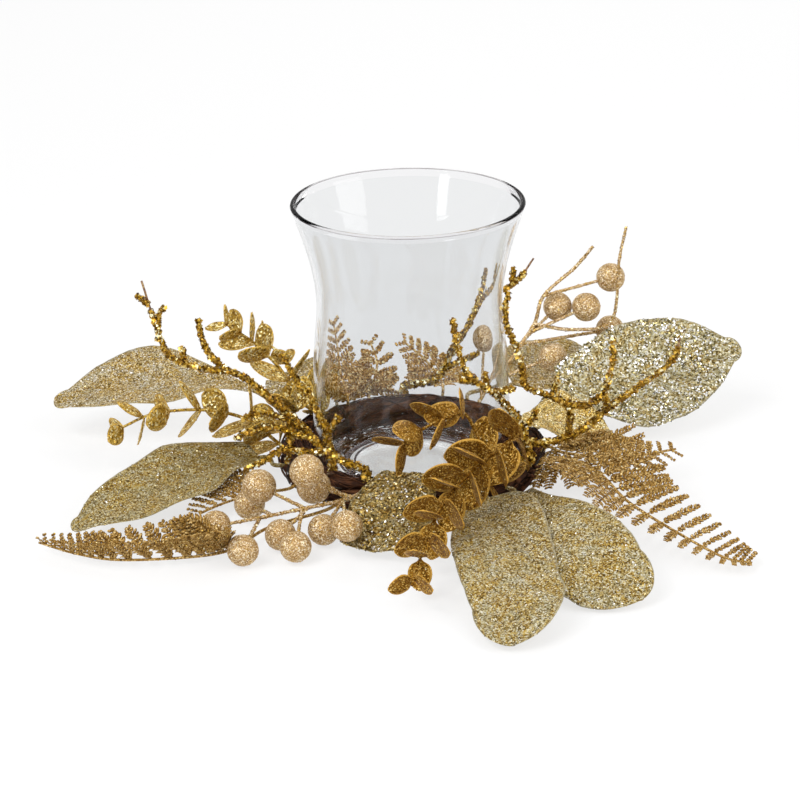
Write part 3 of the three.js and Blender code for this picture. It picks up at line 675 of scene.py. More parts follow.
def makeVine(i):
    start = 360 * i / ringShape["strands"] + ringShape["endGap"] / 2
    reach = 360 - ringShape["endGap"]
    steps, sides, dots = barkShape["steps"], barkShape["sides"], barkShape["curvePoints"]
    points = [strandAt(i, start + reach * k / dots)[0] for k in range(dots + 1)]
    sections, marks = [], []
    length = curveLength(points, barkShape["lengthSteps"])
    for k, (at, _, normal, side) in enumerate(framesAlong(points, steps)):
        fromCut = min(k, steps - k) / steps * reach / barkShape["taperDegrees"]
        radius = ringShape["strandRadius"] * min(1, barkShape["cutShare"] + barkShape["taper"] * fromCut)
        along = length * k / steps
        section, mark = [], []
        for j in range(sides):
            turn = 2 * math.pi * j / sides
            r = barkRadius(i, radius, along, turn)
            section.append(at + side * (r * math.cos(turn)) + normal * (r * math.sin(turn)))
            mark.append((along * mm, j / sides))
        sections.append(section)
        marks.append(mark)
    growth = Growth()
    growth.skin(sections, marks)
    growth.build(f"vineStrand{i + 1}", [finishes["bark"]], [f"vine_{i + 1}"], "bark")


shreds = {"count": 640, "radius": (40.5, 57), "drift": 1.2, "stride": (3, 7),
          "low": 0.35, "high": 0.9, "slope": 0.62, "slopeFrom": 44,   # they pile up towards the ring
          "thick": (0.35, 0.85), "thinning": 0.4}
fibres = {"count": 520, "bundle": 8.7, "bulge": (0.9, 1.03), "stride": (3, 7), "twist": 0.25, "wander": 0.06,
          "low": 0.6, "thick": (0.2, 0.5), "thinning": 0.5}


def threadMark(k):
    # keeps the bark's grain from falling alike on every thread
    return (k * 0.01, k / 7)


def makeShreds():
    # loose bark shreds between the ring and the foot of the glass
    pick, growth = random.Random(5), Growth()
    least, most = shreds["radius"]
    for k in range(shreds["count"]):
        azimuth, radius = pick.uniform(0, 360), pick.uniform(least, most)
        top = shreds["high"] + max(0, radius - shreds["slopeFrom"]) * shreds["slope"]
        line = []
        for j in range(5):
            turn = math.radians(azimuth + j * pick.uniform(*shreds["stride"]))
            out = min(most, max(least, radius + pick.gauss(0, shreds["drift"])))
            height = pick.uniform(shreds["low"], top)
            line.append(Vector((out * math.cos(turn), out * math.sin(turn), height)))
        growth.tube(line, 14, pick.uniform(*shreds["thick"]), shreds["thinning"], 6, threadMark(k))
    growth.build("barkShreds", [finishes["bark"]], [], "bark")


def makeFibres():
    # dry fibres that wind round the whole bundle of strands
    pick, growth = random.Random(11), Growth()
    for k in range(fibres["count"]):
        azimuth, around = pick.uniform(0, 360), pick.uniform(0, 2 * math.pi)
        stride, twist, line = pick.uniform(*fibres["stride"]), pick.gauss(0, fibres["twist"]), []
        for j in range(6):
            bulge = fibres["bundle"] * pick.uniform(*fibres["bulge"])
            turn = around + twist * j + pick.gauss(0, fibres["wander"])
            height = max(fibres["low"], ringHeight + bulge * math.sin(turn))
            line.append(place(azimuth + stride * j, bulge * math.cos(turn), height))
        growth.tube(line, 20, pick.uniform(*fibres["thick"]), fibres["thinning"], 5, threadMark(k))
    growth.build("barkFibres", [finishes["bark"]], [], "bark")


# what sticks out of the ring, each with its radius and the points it passes
looseEnds = {
    "wire": [
        (0.55, [(331, 7, 10), (337.6, 8, 14), (340, 10, 19), (338, 12, 23), (334.5, 12, 22)]),
        (0.5, [(297, 18, 8), (297.8, 24, 5), (298.7, 31, 2)]),
        (0.5, [(238, 6, 14), (234, 10, 15), (230, 12, 10), (232, 11, 5)]),
    ],
    "bark": [
        (2.0, [(322, 8, 5), (327, 10, 9), (331, 9.5, 13)]),
        (1.7, [(325, 9, 13), (330, 10.5, 10), (335, 9, 6)]),
        (1.5, [(318, 9, 12), (322, 10.5, 14), (326, 9, 17)]),
        (1.4, [(333, 8.5, 14), (336, 10.5, 12), (339, 9, 8)]),
    ],
}


def makeLooseEnds():
    growth = Growth()
    for slot, kind in enumerate(looseEnds):
        for thick, line in looseEnds[kind]:
            growth.tube([place(*p) for p in line], 24, thick, 0.5, 7, (0, thick), slot, squash=0.6)
    growth.build("looseEnds", [finishes[kind] for kind in looseEnds], [], "bark")


def finishWires():
    # the binding wires keep their solids' shape, made rounder
    for name in [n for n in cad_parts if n.startswith("tie_wire")]:
        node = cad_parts[name]
        node.data.materials.clear()
        node.data.materials.append(finishes["wire"])
        rounder = node.modifiers.new("rounder", "SUBSURF")
        rounder.levels = rounder.render_levels = 2


for i in range(ringShape["strands"]):
    makeVine(i)
makeShreds()
makeFibres()
makeLooseEnds()
finishWires()
print("vine ring made")


# the broad leaves

# A root is an azimuth and a direction round the bundle. A path's points are azimuth, distance outside the
# ring's centre line and height. Edges are shares of half the width, evenly spaced from stem to tip.
evenEdge = [0.35, 0.86, 1, 0.88, 0.58, 0]
leaves = {
    "leaf_front": {
        "root": (300, 20), "path": [(297, 20, 13.5), (287, 96, 13.5), (281, 164, 3)],
        "width": 54, "edges": [[0.5, 0.82, 0.8, 0.82, 0.92, 0.25], [0.4, 0.76, 1, 0.94, 0.66, 0.2]],
        "roll": 6, "roundTip": 0.2,
        "finish": "frontLeaf",
    },
    "leaf_front_right": {
        "root": (313, 10), "path": [(309, 22, 12), (300, 90, 17.5), (301.5, 145, 5)],
        "width": 56, "edges": [[0.3, 0.38, 0.74, 0.82, 0.62, 0.1], [0.4, 0.54, 0.78, 0.95, 0.95, 0.35]],
        "roll": 18, "fold": 6, "roundTip": 0.2,
        "finish": "frontLeaf",
    },
    "leaf_front_left": {
        "root": (273, 60), "path": [(270, 13, 28.5), (264, 36, 17), (261, 56, 5)],
        "width": 54, "edges": [[0.5, 0.65, 0.84, 0.97, 0.98, 0.5], [0.6, 0.8, 0.87, 0.86, 0.9, 0.8]],
        "roll": 6, "fold": 4, "roundTip": 0.15,
        "finish": "darkLeaf",
    },
    "leaf_left_high": {
        "root": (153, 30), "path": [(153, 34, 30), (155, 80, 31), (163, 141, 19)],
        "width": 50, "edges": [[0.1, 0.4, 0.84, 1, 0.8, 0.3], [0.1, 0.2, 0.5, 0.98, 0.85, 0.1]],
        "roll": -20,
        "finish": "paleLeaf",
    },
    "leaf_left_low": {
        "root": (196, 0), "path": [(193, 20, 16), (201, 70, 15.5), (207.5, 130, 7)],
        "width": 44, "edges": [[0.45, 0.46, 1, 0.97, 0.98, 0.1], [0.55, 0.88, 1, 0.82, 0.7, 0.1]],
        "roll": -12,
        "finish": "oliveLeaf",
    },
    "leaf_right_high": {
        "root": (30, 45), "path": [(33, 34, 24), (27, 84, 27), (22.5, 133, 38)],
        "width": 66, "edges": [[0.35, 0.62, 0.9, 0.9, 0.63, 0.1], [0.3, 0.7, 1.08, 0.98, 0.66, 0.1]],
        "roll": 40,
        "finish": "coarseLeaf",
    },
    "leaf_right_low": {
        "root": (14, 45), "path": [(12, 4, 27), (4, 16, 25), (358.5, 46, 16)],
        "width": 40, "edges": [evenEdge, [0.35, 0.86, 1, 1, 0.9, 0.4]], "roll": 14,
        "finish": "goldLeaf",
    },
    "leaf_back_right": {
        "root": (62, 30), "path": [(54, 34, 18), (50.5, 66, 21), (47, 98, 18)],
        "width": 48, "roll": 14,
        "finish": "paleLeaf",
    },
    "leaf_back_left": {
        "root": (125, 30), "path": [(124, 22, 18), (126, 44, 17), (129, 66, 13)],
        "width": 40, "roll": -15,
        "finish": "paleLeaf",
    },
}
leafShape = {
    "thickness": 0.9, "petiole": 1.1, "petioleSteps": 24, "bladeSteps": 84, "across": 14,
    "tipCrowding": 1.8,           # above 1, the sections lie closer together towards the tip
    "roundTip": 0.06,             # the share of the blade that its rounded tip takes up
    "fold": 12, "roll": 0, "wave": 2, "waves": 1.5,
    "buckle": 1.3, "crease": 1.6,
    "veinGap": 6.5, "veinRise": 0.38, "veinLean": 0.55, "midribRise": 0.5, "midribWidth": 1.6,
    "flattening": 9,              # how fast the petiole flattens into the blade
    "ragged": 0.035, "nibbled": 0.012,
}
# chips of a finish: their material, then count, size, tilt, lift and crowd of each scattering
silverChips = ("silverChip", [(1500, 0.8, 0.45, 0.12, 0), (1500, 0.9, 0.3, 0.12, 12)])
leafChips = {
    "coarseLeaf": ("coarseChip", [(1000, 1.0, 0.4, 0.12, 0), (7600, 1.5, 0.3, 0.15, 10)]),
    "darkLeaf": ("darkChip", [(3600, 1.3, 0.45, 0.12, 0)]),
}


def edgeShare(shares, u):
    # a smooth line through evenly spaced shares
    last = len(shares) - 1
    k = min(int(u * last), last - 1)
    w = u * last - k
    before, a, b, after = (shares[min(max(k + j, 0), last)] for j in (-1, 0, 1, 2))
    return (a * (2 * w ** 3 - 3 * w ** 2 + 1) + (b - before) / 2 * (w ** 3 - 2 * w ** 2 + w)
            + b * (3 * w ** 2 - 2 * w ** 3) + (after - a) / 2 * (w ** 3 - w ** 2))


def bladeSection(leaf, spot, u, halves, length, seed):
    # one ring round the blade: its upper side from edge to edge, then its lower side
    at, _, normal, side = spot
    n, grown = leafShape["across"], min(1, u * leafShape["flattening"])
    slope = math.tan(math.radians(leaf["fold"]))

    def point(t, lift):
        half, hand = halves[0 if t > 0 else 1], t > 0
        edge = half * (1 + leafShape["ragged"] * noise.noise(Vector((u * 7, 3 * hand, seed)))
                       + leafShape["nibbled"] * noise.noise(Vector((u * 31, 9 * hand, seed))))
        rise = edge * abs(t) * slope
        ripple = leaf["wave"] * edge / (leaf["width"] / 2) * t * math.sin(2 * math.pi * leaf["waves"] * u)
        bumps = noise.noise(Vector((u * 4.5, 2.5 * t, seed + 5)))
        buckle = leafShape["buckle"] * abs(t) ** 2 * bumps * grown
        phase = (u * length - leafShape["veinLean"] * abs(t) * half) / leafShape["veinGap"]
        vein = leafShape["veinRise"] * max(0, math.cos(2 * math.pi * phase)) ** 6 * (1 - abs(t) ** 3)
        creases = noise.noise(Vector((phase * 1.3, 2 * t, seed + 9)))
        vein += leafShape["crease"] * creases * (1 - abs(t) ** 4)
        rib = max(0, 1 - abs(t) * half / leafShape["midribWidth"]) * (1 - 0.7 * u)
        relief = (vein + leafShape["midribRise"] * rib) * grown
        return at + side * (edge * t) + normal * (rise + ripple + buckle + relief + lift)

    thick = leafShape["thickness"] / 2 * min(1, min(halves) / 2)
    top = [1 - j / n for j in range(2 * n)]
    bottom = [-1 + j / n for j in range(2 * n)]
    upper = [point(t, thick * (1 - t * t) ** 0.5) for t in top]
    lower = [point(t, -(thick * (1 - t * t) ** 0.5)) for t in bottom]
    return upper + lower, [(u, abs(t)) for t in top + bottom]


def makeLeaf(name, recipe, seed):
    leaf = {**leafShape, "edges": [evenEdge, evenEdge], **recipe}
    points = rootedIn(*leaf["root"]) + [place(*p) for p in leaf["path"]]
    neck = 3 / (len(points) - 1)                 # the blade starts at the first point of the path
    length = curveLength(points[3:])
    sides, radius = 4 * leafShape["across"], leafShape["petiole"]
    turns = [2 * math.pi * j / sides for j in range(sides)]
    petiole = framesAlong(points, leafShape["petioleSteps"], 0, neck)
    sections = [[at + side * radius * math.cos(a) + normal * radius * math.sin(a) for a in turns]
                for at, _, normal, side in petiole]
    marks = [(0.0, 0.0)] * len(petiole)
    steps, crowding = leafShape["bladeSteps"], leafShape["tipCrowding"]
    tipStart = 1 - leaf["roundTip"]
    blade = framesAlong(points, steps, neck, 1, ease=crowding)
    for i, (at, tangent, normal, side) in enumerate(blade[1:], 1):
        u = 1 - (1 - i / steps) ** crowding
        closing = (1 - max(0, (u - tipStart) / (1 - tipStart)) ** 2) ** 0.5
        halves = [max(0.3, leaf["width"] / 2 * edgeShare(shares, min(u, tipStart)) * closing)
                  for shares in leaf["edges"]]
        turn = Quaternion(tangent, math.radians(leaf["roll"]))
        section, mark = bladeSection(leaf, (at, tangent, turn @ normal, turn @ side), u, halves, length, seed)
        sections.append(section)
        marks.append(mark)
    growth = Growth()
    growth.skin(sections, marks)
    chip, scatterings = leafChips.get(leaf["finish"], silverChips)
    for k, (count, size, tilt, lift, crowd) in enumerate(scatterings):   # each with a seed of its own
        growth.flakes(count, size, seed + k, tilt, lift, crowd=crowd)
    growth.build(name + "Blade", [finishes[leaf["finish"]], finishes[chip]], [name], "leaf_glitter")


for seed, (name, leaf) in enumerate(leaves.items()):
    makeLeaf(name, leaf, seed + 1)
print("leaves made:", len(leaves))


# the eucalyptus

# Pairs of leaves stand on a stem, each turned a quarter from the last.
sprigs = {
    "eucalyptus_left": {
        "root": (182, 40), "path": [(181.5, 24, 31), (183, 46, 38), (181.8, 72, 36), (181.8, 91, 28)],
        "pairs": 8, "length": 23, "width": 19, "lean": 64, "bare": 0.28, "taper": 0.5,
        "finish": "paintedLitEucalyptus",
    },
    "eucalyptus_left_high": {
        "root": (166, 70), "path": [(164.5, 6, 45), (165.2, 20, 62), (167, 28, 69.5), (168.3, 37, 76.5)],
        "pairs": 7, "length": 25, "width": 19, "spin": 8, "lean": 60, "taper": 0.65,
        "finish": "paintedLitEucalyptus",
    },
    "eucalyptus_front": {
        "root": (324, 60),
        "path": [
            (307, 25, 44), (294, 34, 43), (286, 42, 39), (279, 53, 33),
            (274.3, 70, 27), (271.5, 92, 21), (269.6, 116, 14.5),
        ],
        "pairs": 10, "length": 25, "width": 20, "spin": 5, "bare": 0.36, "taper": 0.55,
        "finish": "eucalyptus",
    },
    "eucalyptus_front_high": {
        "root": (304, 80), "path": [(294, 8, 54), (285, 9, 56), (274, 10, 51), (266, 12, 44)],
        "pairs": 6, "length": 20, "width": 16, "spin": 50, "lean": 55, "taper": 0.2,
        "finish": "eucalyptus",
    },
    "eucalyptus_back": {
        "root": (146, 50), "path": [(144, 14, 34), (143, 24, 46), (146, 35, 55)],
        "pairs": 4, "length": 16, "width": 12, "spin": 20,
        "finish": "paintedLitEucalyptus",
    },
}
sprigShape = {
    "stem": 1.1, "stemTip": 0.7, "stemSteps": 60, "stemSides": 10,
    "lean": 62, "bare": 0.25, "spin": 0, "taper": 0.5,
    "leafSteps": 12, "thickness": 0.8, "embedded": 0.3,
    "bend": 0.18, "cup": 0.14, "ripple": 0.35, "groove": 0.3, "roundness": 0.52,
    "chipsPerPair": 160, "chip": 0.7,
}


def ovalLeaf(growth, base, along, face, length, width, seed):
    side = face.cross(along)
    steps = sprigShape["leafSteps"]
    top = [1, 0.75, 0.45, 0.15, -0.15, -0.45, -0.75]
    bottom = [-t for t in top]
    sections, marks = [], []
    for i in range(steps + 1):
        u = i / steps
        oval = max(0, math.sin(math.pi * min(u, 0.995) ** 0.92)) ** sprigShape["roundness"]
        half = max(0.5, width / 2 * oval * min(1, 0.1 + u * 5))
        middle = base + along * (length * u) + face * (sprigShape["bend"] * length * u * u)
        section = []
        for k, t in enumerate(top + bottom):
            thick = sprigShape["thickness"] / 2 * (1 - t * t) ** 0.5 * (1 if k < len(top) else -1)
            bumps = noise.noise(Vector((u * 3, t, seed)))
            rise = sprigShape["cup"] * half * t * t + sprigShape["ripple"] * bumps
            groove = sprigShape["groove"] * max(0, 1 - abs(t) * 5)
            section.append(middle + side * (half * t) + face * (rise + thick - groove))
        sections.append(section)
        nearTip = abs(2 * u - 1) ** 3 if u > 0.5 else 0
        marks.append([(u, max(abs(t), nearTip)) for t in top + bottom])
    growth.skin(sections, marks)


def makeSprig(name, recipe, seed):
    sprig = {**sprigShape, **recipe}
    points = rootedIn(*sprig["root"]) + [place(*p) for p in sprig["path"]]
    growth = Growth()
    growth.stem(points, sprig["stemSteps"], sprig["stem"], sprig["stemTip"], sprig["stemSides"])
    pairs, pick = sprig["pairs"], random.Random(seed)
    lean = math.radians(sprig["lean"])
    for i, (at, tangent, normal, side) in enumerate(framesAlong(points, pairs - 1, sprig["bare"], 0.98)):
        shrink = 1 - sprig["taper"] * (i / pairs) ** 1.5
        for flip in (0, 180):
            turn = math.radians(sprig["spin"] + 90 * i + flip)
            away = normal * math.cos(turn) + side * math.sin(turn)
            along = tangent * math.cos(lean) + away * math.sin(lean)
            face = tangent * math.sin(lean) - away * math.cos(lean)
            ovalLeaf(growth, at + away * sprig["embedded"], along, face,
                     sprig["length"] * shrink, sprig["width"] * shrink, pick.random() * 40)
    growth.flakes(sprig["chipsPerPair"] * pairs, sprig["chip"], seed, tilt=0.5, lift=0.12)
    kinds = [finishes[sprig["finish"]], finishes["goldChip"]]
    growth.build(name + "Sprig", kinds, [name], "eucalyptus_glitter")


for seed, (name, sprig) in enumerate(sprigs.items()):
    makeSprig(name, sprig, seed + 20)
print("eucalyptus made:", len(sprigs))


# the ferns

# Pairs of fronds shorten towards the tip; roll turns the whole fern and lift raises its fronds.
ferns = {
    "fern_left": {
        "root": (240, -10),
        "path": [
            (236, 19, 6), (229, 50, 4.5), (230.8, 77, 4.5), (228, 96, 4.5),
            (220, 125, 4.5), (214, 138, 4.5), (207.6, 148, 4.5),
        ],
        "pairs": 16, "length": 27, "width": 9, "lift": 60, "bare": 0.57,
    },
    "fern_left_high": {
        "root": (211, -5), "path": [(212, 24, 8), (212, 38, 9), (212.5, 54, 8.5), (214, 68, 8)],
        "pairs": 9, "length": 30, "width": 9, "lean": 62, "roll": -8, "lift": 8, "bare": 0.46, "hands": [-1],
    },
    "fern_right": {
        "root": (334, 0),
        "path": [
            (331, 30, 22), (325.5, 53, 22.5), (322.5, 74, 14.5),
            (320.4, 108, 8), (319.6, 136, 4), (320.6, 150, 3.5),
        ],
        "pairs": 18, "length": 34, "width": 7.92, "lean": 66, "roll": 4, "lift": 26, "bare": 0.4,
    },
    "fern_right_high": {
        "root": (348, 10), "path": [(343, 20, 18), (341.5, 40, 19), (346, 59, 18), (354, 76, 15)],
        "pairs": 12, "length": 28, "width": 9, "roll": 24, "lift": 1.5, "bare": 0.4,
    },
    "fern_back_left": {
        "root": (125, 70), "path": [(123.4, 12, 34), (122.7, 17, 47), (123.2, 22, 60)],
        "pairs": 10, "length": 18, "width": 7, "finish": "farFernPaintedLight",
    },
    "fern_back": {
        "root": (110, 60), "path": [(108, 8, 24), (105, 11, 35), (107, 16, 46)],
        "pairs": 8, "length": 20, "width": 8, "finish": "farFernPaintedLight",
    },
    "fern_back_right": {
        "root": (74, 45), "path": [(78, 14, 25), (85, 18, 34), (93, 21, 43)],
        "pairs": 9, "length": 22, "width": 8, "bare": 0.42, "finish": "farFernPaintedLight",
    },
}
fernShape = {
    "stem": 1.0, "stemTip": 0.6, "stemSteps": 60, "stemSides": 8,
    "lean": 55, "bare": 0.3, "roll": 0, "lift": 0, "hands": (1, -1), "embedded": 0.3, "finish": "fern",
    "shrink": 0.88, "droop": 0.08, "ribRadii": (0.55, 0.42, 0.25),
    "leafletGap": 2.0, "leafletLean": 54, "leafletWidth": 1.9, "leafletLeast": 1.4, "thickness": 0.7,
    "chipsPerPair": 110, "chip": 0.8,
}
leafletOutline = ((0, 0.35), (0.3, 0.95), (0.65, 1.0), (0.9, 0.6), (1, 0.15))   # along, share of the width


def leaflet(growth, base, along, face, length, width):
    side = face.cross(along)
    thick = fernShape["thickness"]
    sections = []
    for u, share in leafletOutline:
        middle = base + along * (length * u) + face * (0.1 * length * math.sin(math.pi * u))
        half = width / 2 * share
        sections.append([middle + side * half, middle + face * thick / 2,
                         middle - side * half, middle - face * thick / 2])
    growth.skin(sections, [(0, 0)] * len(sections))


def frond(growth, base, along, face, length, width, pick):
    # a side frond: a fine rib with leaflets that point forwards
    side = face.cross(along)

    def onRib(u):
        return base + along * (length * u) - face * (fernShape["droop"] * length * u * u)

    growth.skin([[p + side * r, p + face * r * 0.8, p - side * r, p - face * r * 0.8]
                 for p, r in zip([onRib(u) for u in (0, 0.5, 1)], fernShape["ribRadii"])], [(0, 0)] * 3)
    count = max(2, round(length / fernShape["leafletGap"]))
    for i in range(count + 1):
        u = 0.08 + 0.9 * i / count
        reach = width / 2 * math.sin(math.pi * (0.12 + 0.8 * u)) ** 0.6 * 1.12
        for hand in (1, -1):
            lean = math.radians(fernShape["leafletLean"] + pick.uniform(-7, 7))
            aside = side * (hand * math.sin(lean))
            direction = along * math.cos(lean) + aside + face * pick.uniform(-0.12, 0.2)
            long = max(fernShape["leafletLeast"], reach * pick.uniform(0.8, 1.15) / math.sin(lean))
            wide = fernShape["leafletWidth"] * pick.uniform(0.75, 1.15)
            leaflet(growth, onRib(u), direction.normalized(), face, long, wide)


def makeFern(name, recipe, seed):
    fern = {**fernShape, **recipe}
    points = rootedIn(*fern["root"]) + [place(*p) for p in fern["path"]]
    growth, pick = Growth(), random.Random(seed)
    growth.stem(points, fern["stemSteps"], fern["stem"], fern["stemTip"], fern["stemSides"])
    pairs, lean = fern["pairs"], math.radians(fern["lean"])
    for i, (at, tangent, normal, side) in enumerate(framesAlong(points, pairs - 1, fern["bare"], 0.98)):
        shrink = 1 - fern["shrink"] * (i / pairs) ** 1.1
        for hand in fern["hands"]:
            turn = Quaternion(tangent, math.radians(fern["roll"] + hand * fern["lift"]))
            across = (turn @ side) * hand
            along = tangent * math.cos(lean) + across * math.sin(lean)
            frond(growth, at + across * fern["embedded"], along, turn @ normal,
                  fern["length"] * shrink, fern["width"] * shrink, pick)
    growth.flakes(fern["chipsPerPair"] * pairs, fern["chip"], seed, tilt=0.7, lift=0.1)
    growth.build(name + "Fronds", [finishes[fern["finish"]], finishes["goldChip"]], [name], "fern_glitter")


for seed, (name, fern) in enumerate(ferns.items()):
    makeFern(name, fern, seed + 40)
print("ferns made:", len(ferns))


# the twigs

# "from" is the point of the parent's path that a fork leaves at: 1 is its first point, and 1.5 is half way
# from there to its second. Shoots are thin branches that lie over the others.
twigs = {
    "twig_left": {
        "root": (247, 80),
        "path": [
            (239, 4, 28), (229, 5, 32), (219, 4, 36), (209.3, 5, 41), (200.2, 19, 56),
            (197.6, 31, 66), (194.5, 50, 70), (192.9, 64, 77), (192.2, 70, 93), (191.7, 76, 117),
        ],
        "forks": [
            {"from": 6.2, "path": [(195.6, 42, 74), (194.9, 47, 83), (194.6, 49, 97)]},
            {"from": 7.4, "path": [(193.5, 58, 82)]},
            {"from": 8.8, "path": [(192.5, 69, 97), (192.8, 65, 104)]},
            {"from": 9.5, "path": [(191.3, 80, 110)]},
        ],
        "bareTip": 9,
        "shoots": [
            [(219, 4, 36), (214.7, 9, 37), (208.4, 17, 40), (207.4, 31, 40), (205.4, 39, 36)],
            [(229, 5, 32), (223.4, 13, 32), (216, 20, 32), (215.3, 31, 28), (212.3, 40, 24)],
            [(214, 5, 39), (209.8, 12, 44), (205, 22, 48), (202.3, 33, 44)],
            [(209.3, 5, 41), (208.6, 9, 40), (214.8, 14, 30), (213.9, 16, 22)],
        ],
    },
    "twig_left_small": {
        "root": (226, 80),
        "path": [(221, -3, 40), (215, -3, 47), (209, -2, 54), (202, 2, 62), (196.7, 8, 75)],
        "forks": [{"from": 0.8, "path": [(227, -3, 43), (231, -4, 49)]}],
    },
    "twig_right": {
        "root": (338, 60),
        "path": [
            (336, 15, 27), (339.9, 26, 30), (343, 34, 35), (345.5, 42, 43), (348.2, 60, 56),
            (349.4, 74, 68), (349.7, 78, 80),
        ],
        "forks": [
            {
                "from": 1.8,
                "path": [
                    (337.2, 26, 44), (335.8, 23, 50), (331, 14, 56), (327, 7, 61), (326, 6, 72),
                    (324, 3, 84), (321.2, 0, 98), (322.7, 1, 112),
                ],
                "forks": [
                    {"from": 2.6, "path": [(333.9, 20, 58), (334.4, 21, 66)]},
                    {"from": 2, "path": [(339, 33, 48), (341.3, 41, 54), (342.2, 46, 70), (342.2, 46, 85)]},
                ],
            },
            {"from": 4, "path": [(342, 43, 50), (341.4, 41.5, 55)]},
        ],
        "bareTip": 4,
    },
    "twig_front_right": {
        "root": (330, 85),
        "path": [
            (323, 6, 43), (312.4, 3, 59), (306.3, 3, 65), (297.1, 1, 74), (291.8, 1, 91), (290.3, 0, 105),
        ],
        "forks": [
            {"from": 0.7, "path": [(328, 10, 42), (331, 13, 48)]},
            {"from": 2.2, "path": [(316.9, 3, 61), (323, 5, 60)]},
            {"from": 3, "path": [(305.6, 2, 74)]},
            {"from": 3.6, "path": [(292.1, 2, 72)]},
        ],
    },
    "twig_back": {
        "root": (93, 80),
        "path": [
            (84, 2, 25), (75.7, 5, 29), (69.9, 9, 45), (65.2, 13, 54),
            (59.8, 21, 69), (52.1, 32, 78), (48.1, 39, 91),
        ],
        "forks": [
            {"from": 2.3, "path": [(64, 12, 38), (60, 19, 40)]},
            {"from": 4.8, "path": [(58.8, 23, 77), (57.9, 24, 87)]},
            {"from": 5.9, "path": [(53.2, 32, 87)]},
        ],
        "bareTip": 6,
    },
}
twigShape = {
    "trunk": (1.5, 0.6), "fork": (1.0, 0.5),     # radius at the start and at the tip
    "step": 0.7, "leastSteps": 12, "sides": 12, "crust": 0.8, "knots": 0.4, "knotGap": 5.5, "lumpSize": 1.4,
    "spurGap": 6, "spur": 3.4, "spurRadius": 0.75, "spurTaper": 0.09,
    "chipsPerMm": 10.0, "chip": 2.2, "chipTilt": 0.8, "chipLift": 0.3,
}


def growSpur(growth, spot, tipRadius, pick):
    # a short spur that leans forwards
    at, tangent, normal, side = spot
    turn = pick.uniform(0, 2 * math.pi)
    away = (tangent * 0.8 + side * math.cos(turn) + normal * math.sin(turn)).normalized()
    reach = tipRadius + twigShape["spur"] * pick.uniform(0.4, 1)
    spots = framesAlong([at, at + away * reach * 0.5, at + away * reach + tangent * 0.4], 5)
    growth.skin([roundSection(ring, twigShape["spurRadius"] - twigShape["spurTaper"] * n, 6)
                 for n, ring in enumerate(spots)], [(0, 0)] * 6)


def crustedBranch(growth, points, radii, seed, bareTip=0):
    # a branch under a crust of flakes, knobbly and with short spurs, whose tip may be bare
    length = curveLength(points)
    steps = max(twigShape["leastSteps"], int(length / twigShape["step"]))
    first, last = radii
    sections, cut = [], 0
    frames = framesAlong(points, steps, hint=stemHint)
    for i, (at, _, normal, side) in enumerate(frames):
        along = length * i / steps
        radius = first + (last - first) * i / steps
        crusted = length - along > bareTip
        cut = i if crusted else cut
        knot = max(0, noise.noise(Vector((along / twigShape["knotGap"], seed * 3.1, 0)))) * 2
        section = []
        for j in range(twigShape["sides"]):
            turn = 2 * math.pi * j / twigShape["sides"]
            away = side * math.cos(turn) + normal * math.sin(turn)
            lump = noise.noise((at + away * radius) / twigShape["lumpSize"])
            crust = twigShape["crust"] * (0.6 + lump) if crusted else 0.1 * lump
            section.append(at + away * (radius * (0.9 + twigShape["knots"] * knot * crusted) + crust))
        sections.append(section)
    growth.skin(sections[:cut + 1], [(0, 0)] * (cut + 1))
    if cut < steps - 1:
        growth.skin(sections[cut:], [(0, 0)] * (steps + 1 - cut), slot=2)
    pick, gap = random.Random(seed), twigShape["spurGap"]
    for k in range(int((length - bareTip) / gap)):
        growSpur(growth, frames[int(steps * (k + pick.random()) * gap / length)], last, pick)
    return length


def growTwig(growth, points, lead, radii, forks, seed, bareTip=0):
    # a branch and what forks off it; lead is how far the root shifts the path's points along the row
    total = crustedBranch(growth, points, radii, seed, bareTip)
    for k, fork in enumerate(forks):
        start = curvePoint(points, (fork["from"] + lead) / (len(points) - 1))
        line = [start] + [place(*p) for p in fork["path"]]
        total += growTwig(growth, line, 0, twigShape["fork"], fork.get("forks", []), seed * 5 + k + 1)
    return total


def makeTwig(name, twig, seed):
    growth = Growth()
    points = rootedIn(*twig["root"]) + [place(*p) for p in twig["path"]]
    total = growTwig(growth, points, 2, twigShape["trunk"], twig["forks"], seed, twig.get("bareTip", 0))
    for k, shoot in enumerate(twig.get("shoots", [])):
        total += crustedBranch(growth, [place(*p) for p in shoot], twigShape["fork"], seed * 7 + k)
    growth.flakes(int(total * twigShape["chipsPerMm"]), twigShape["chip"], seed,
                  twigShape["chipTilt"], twigShape["chipLift"], keep=(0,))
    kinds = [finishes[kind] for kind in ("twig", "goldChip", "bareTwig")]
    growth.build(name + "Branches", kinds, [name], "twig_flake")


for seed, (name, twig) in enumerate(twigs.items()):
    makeTwig(name, twig, seed + 60)
print("twigs made:", len(twigs))


# the berries

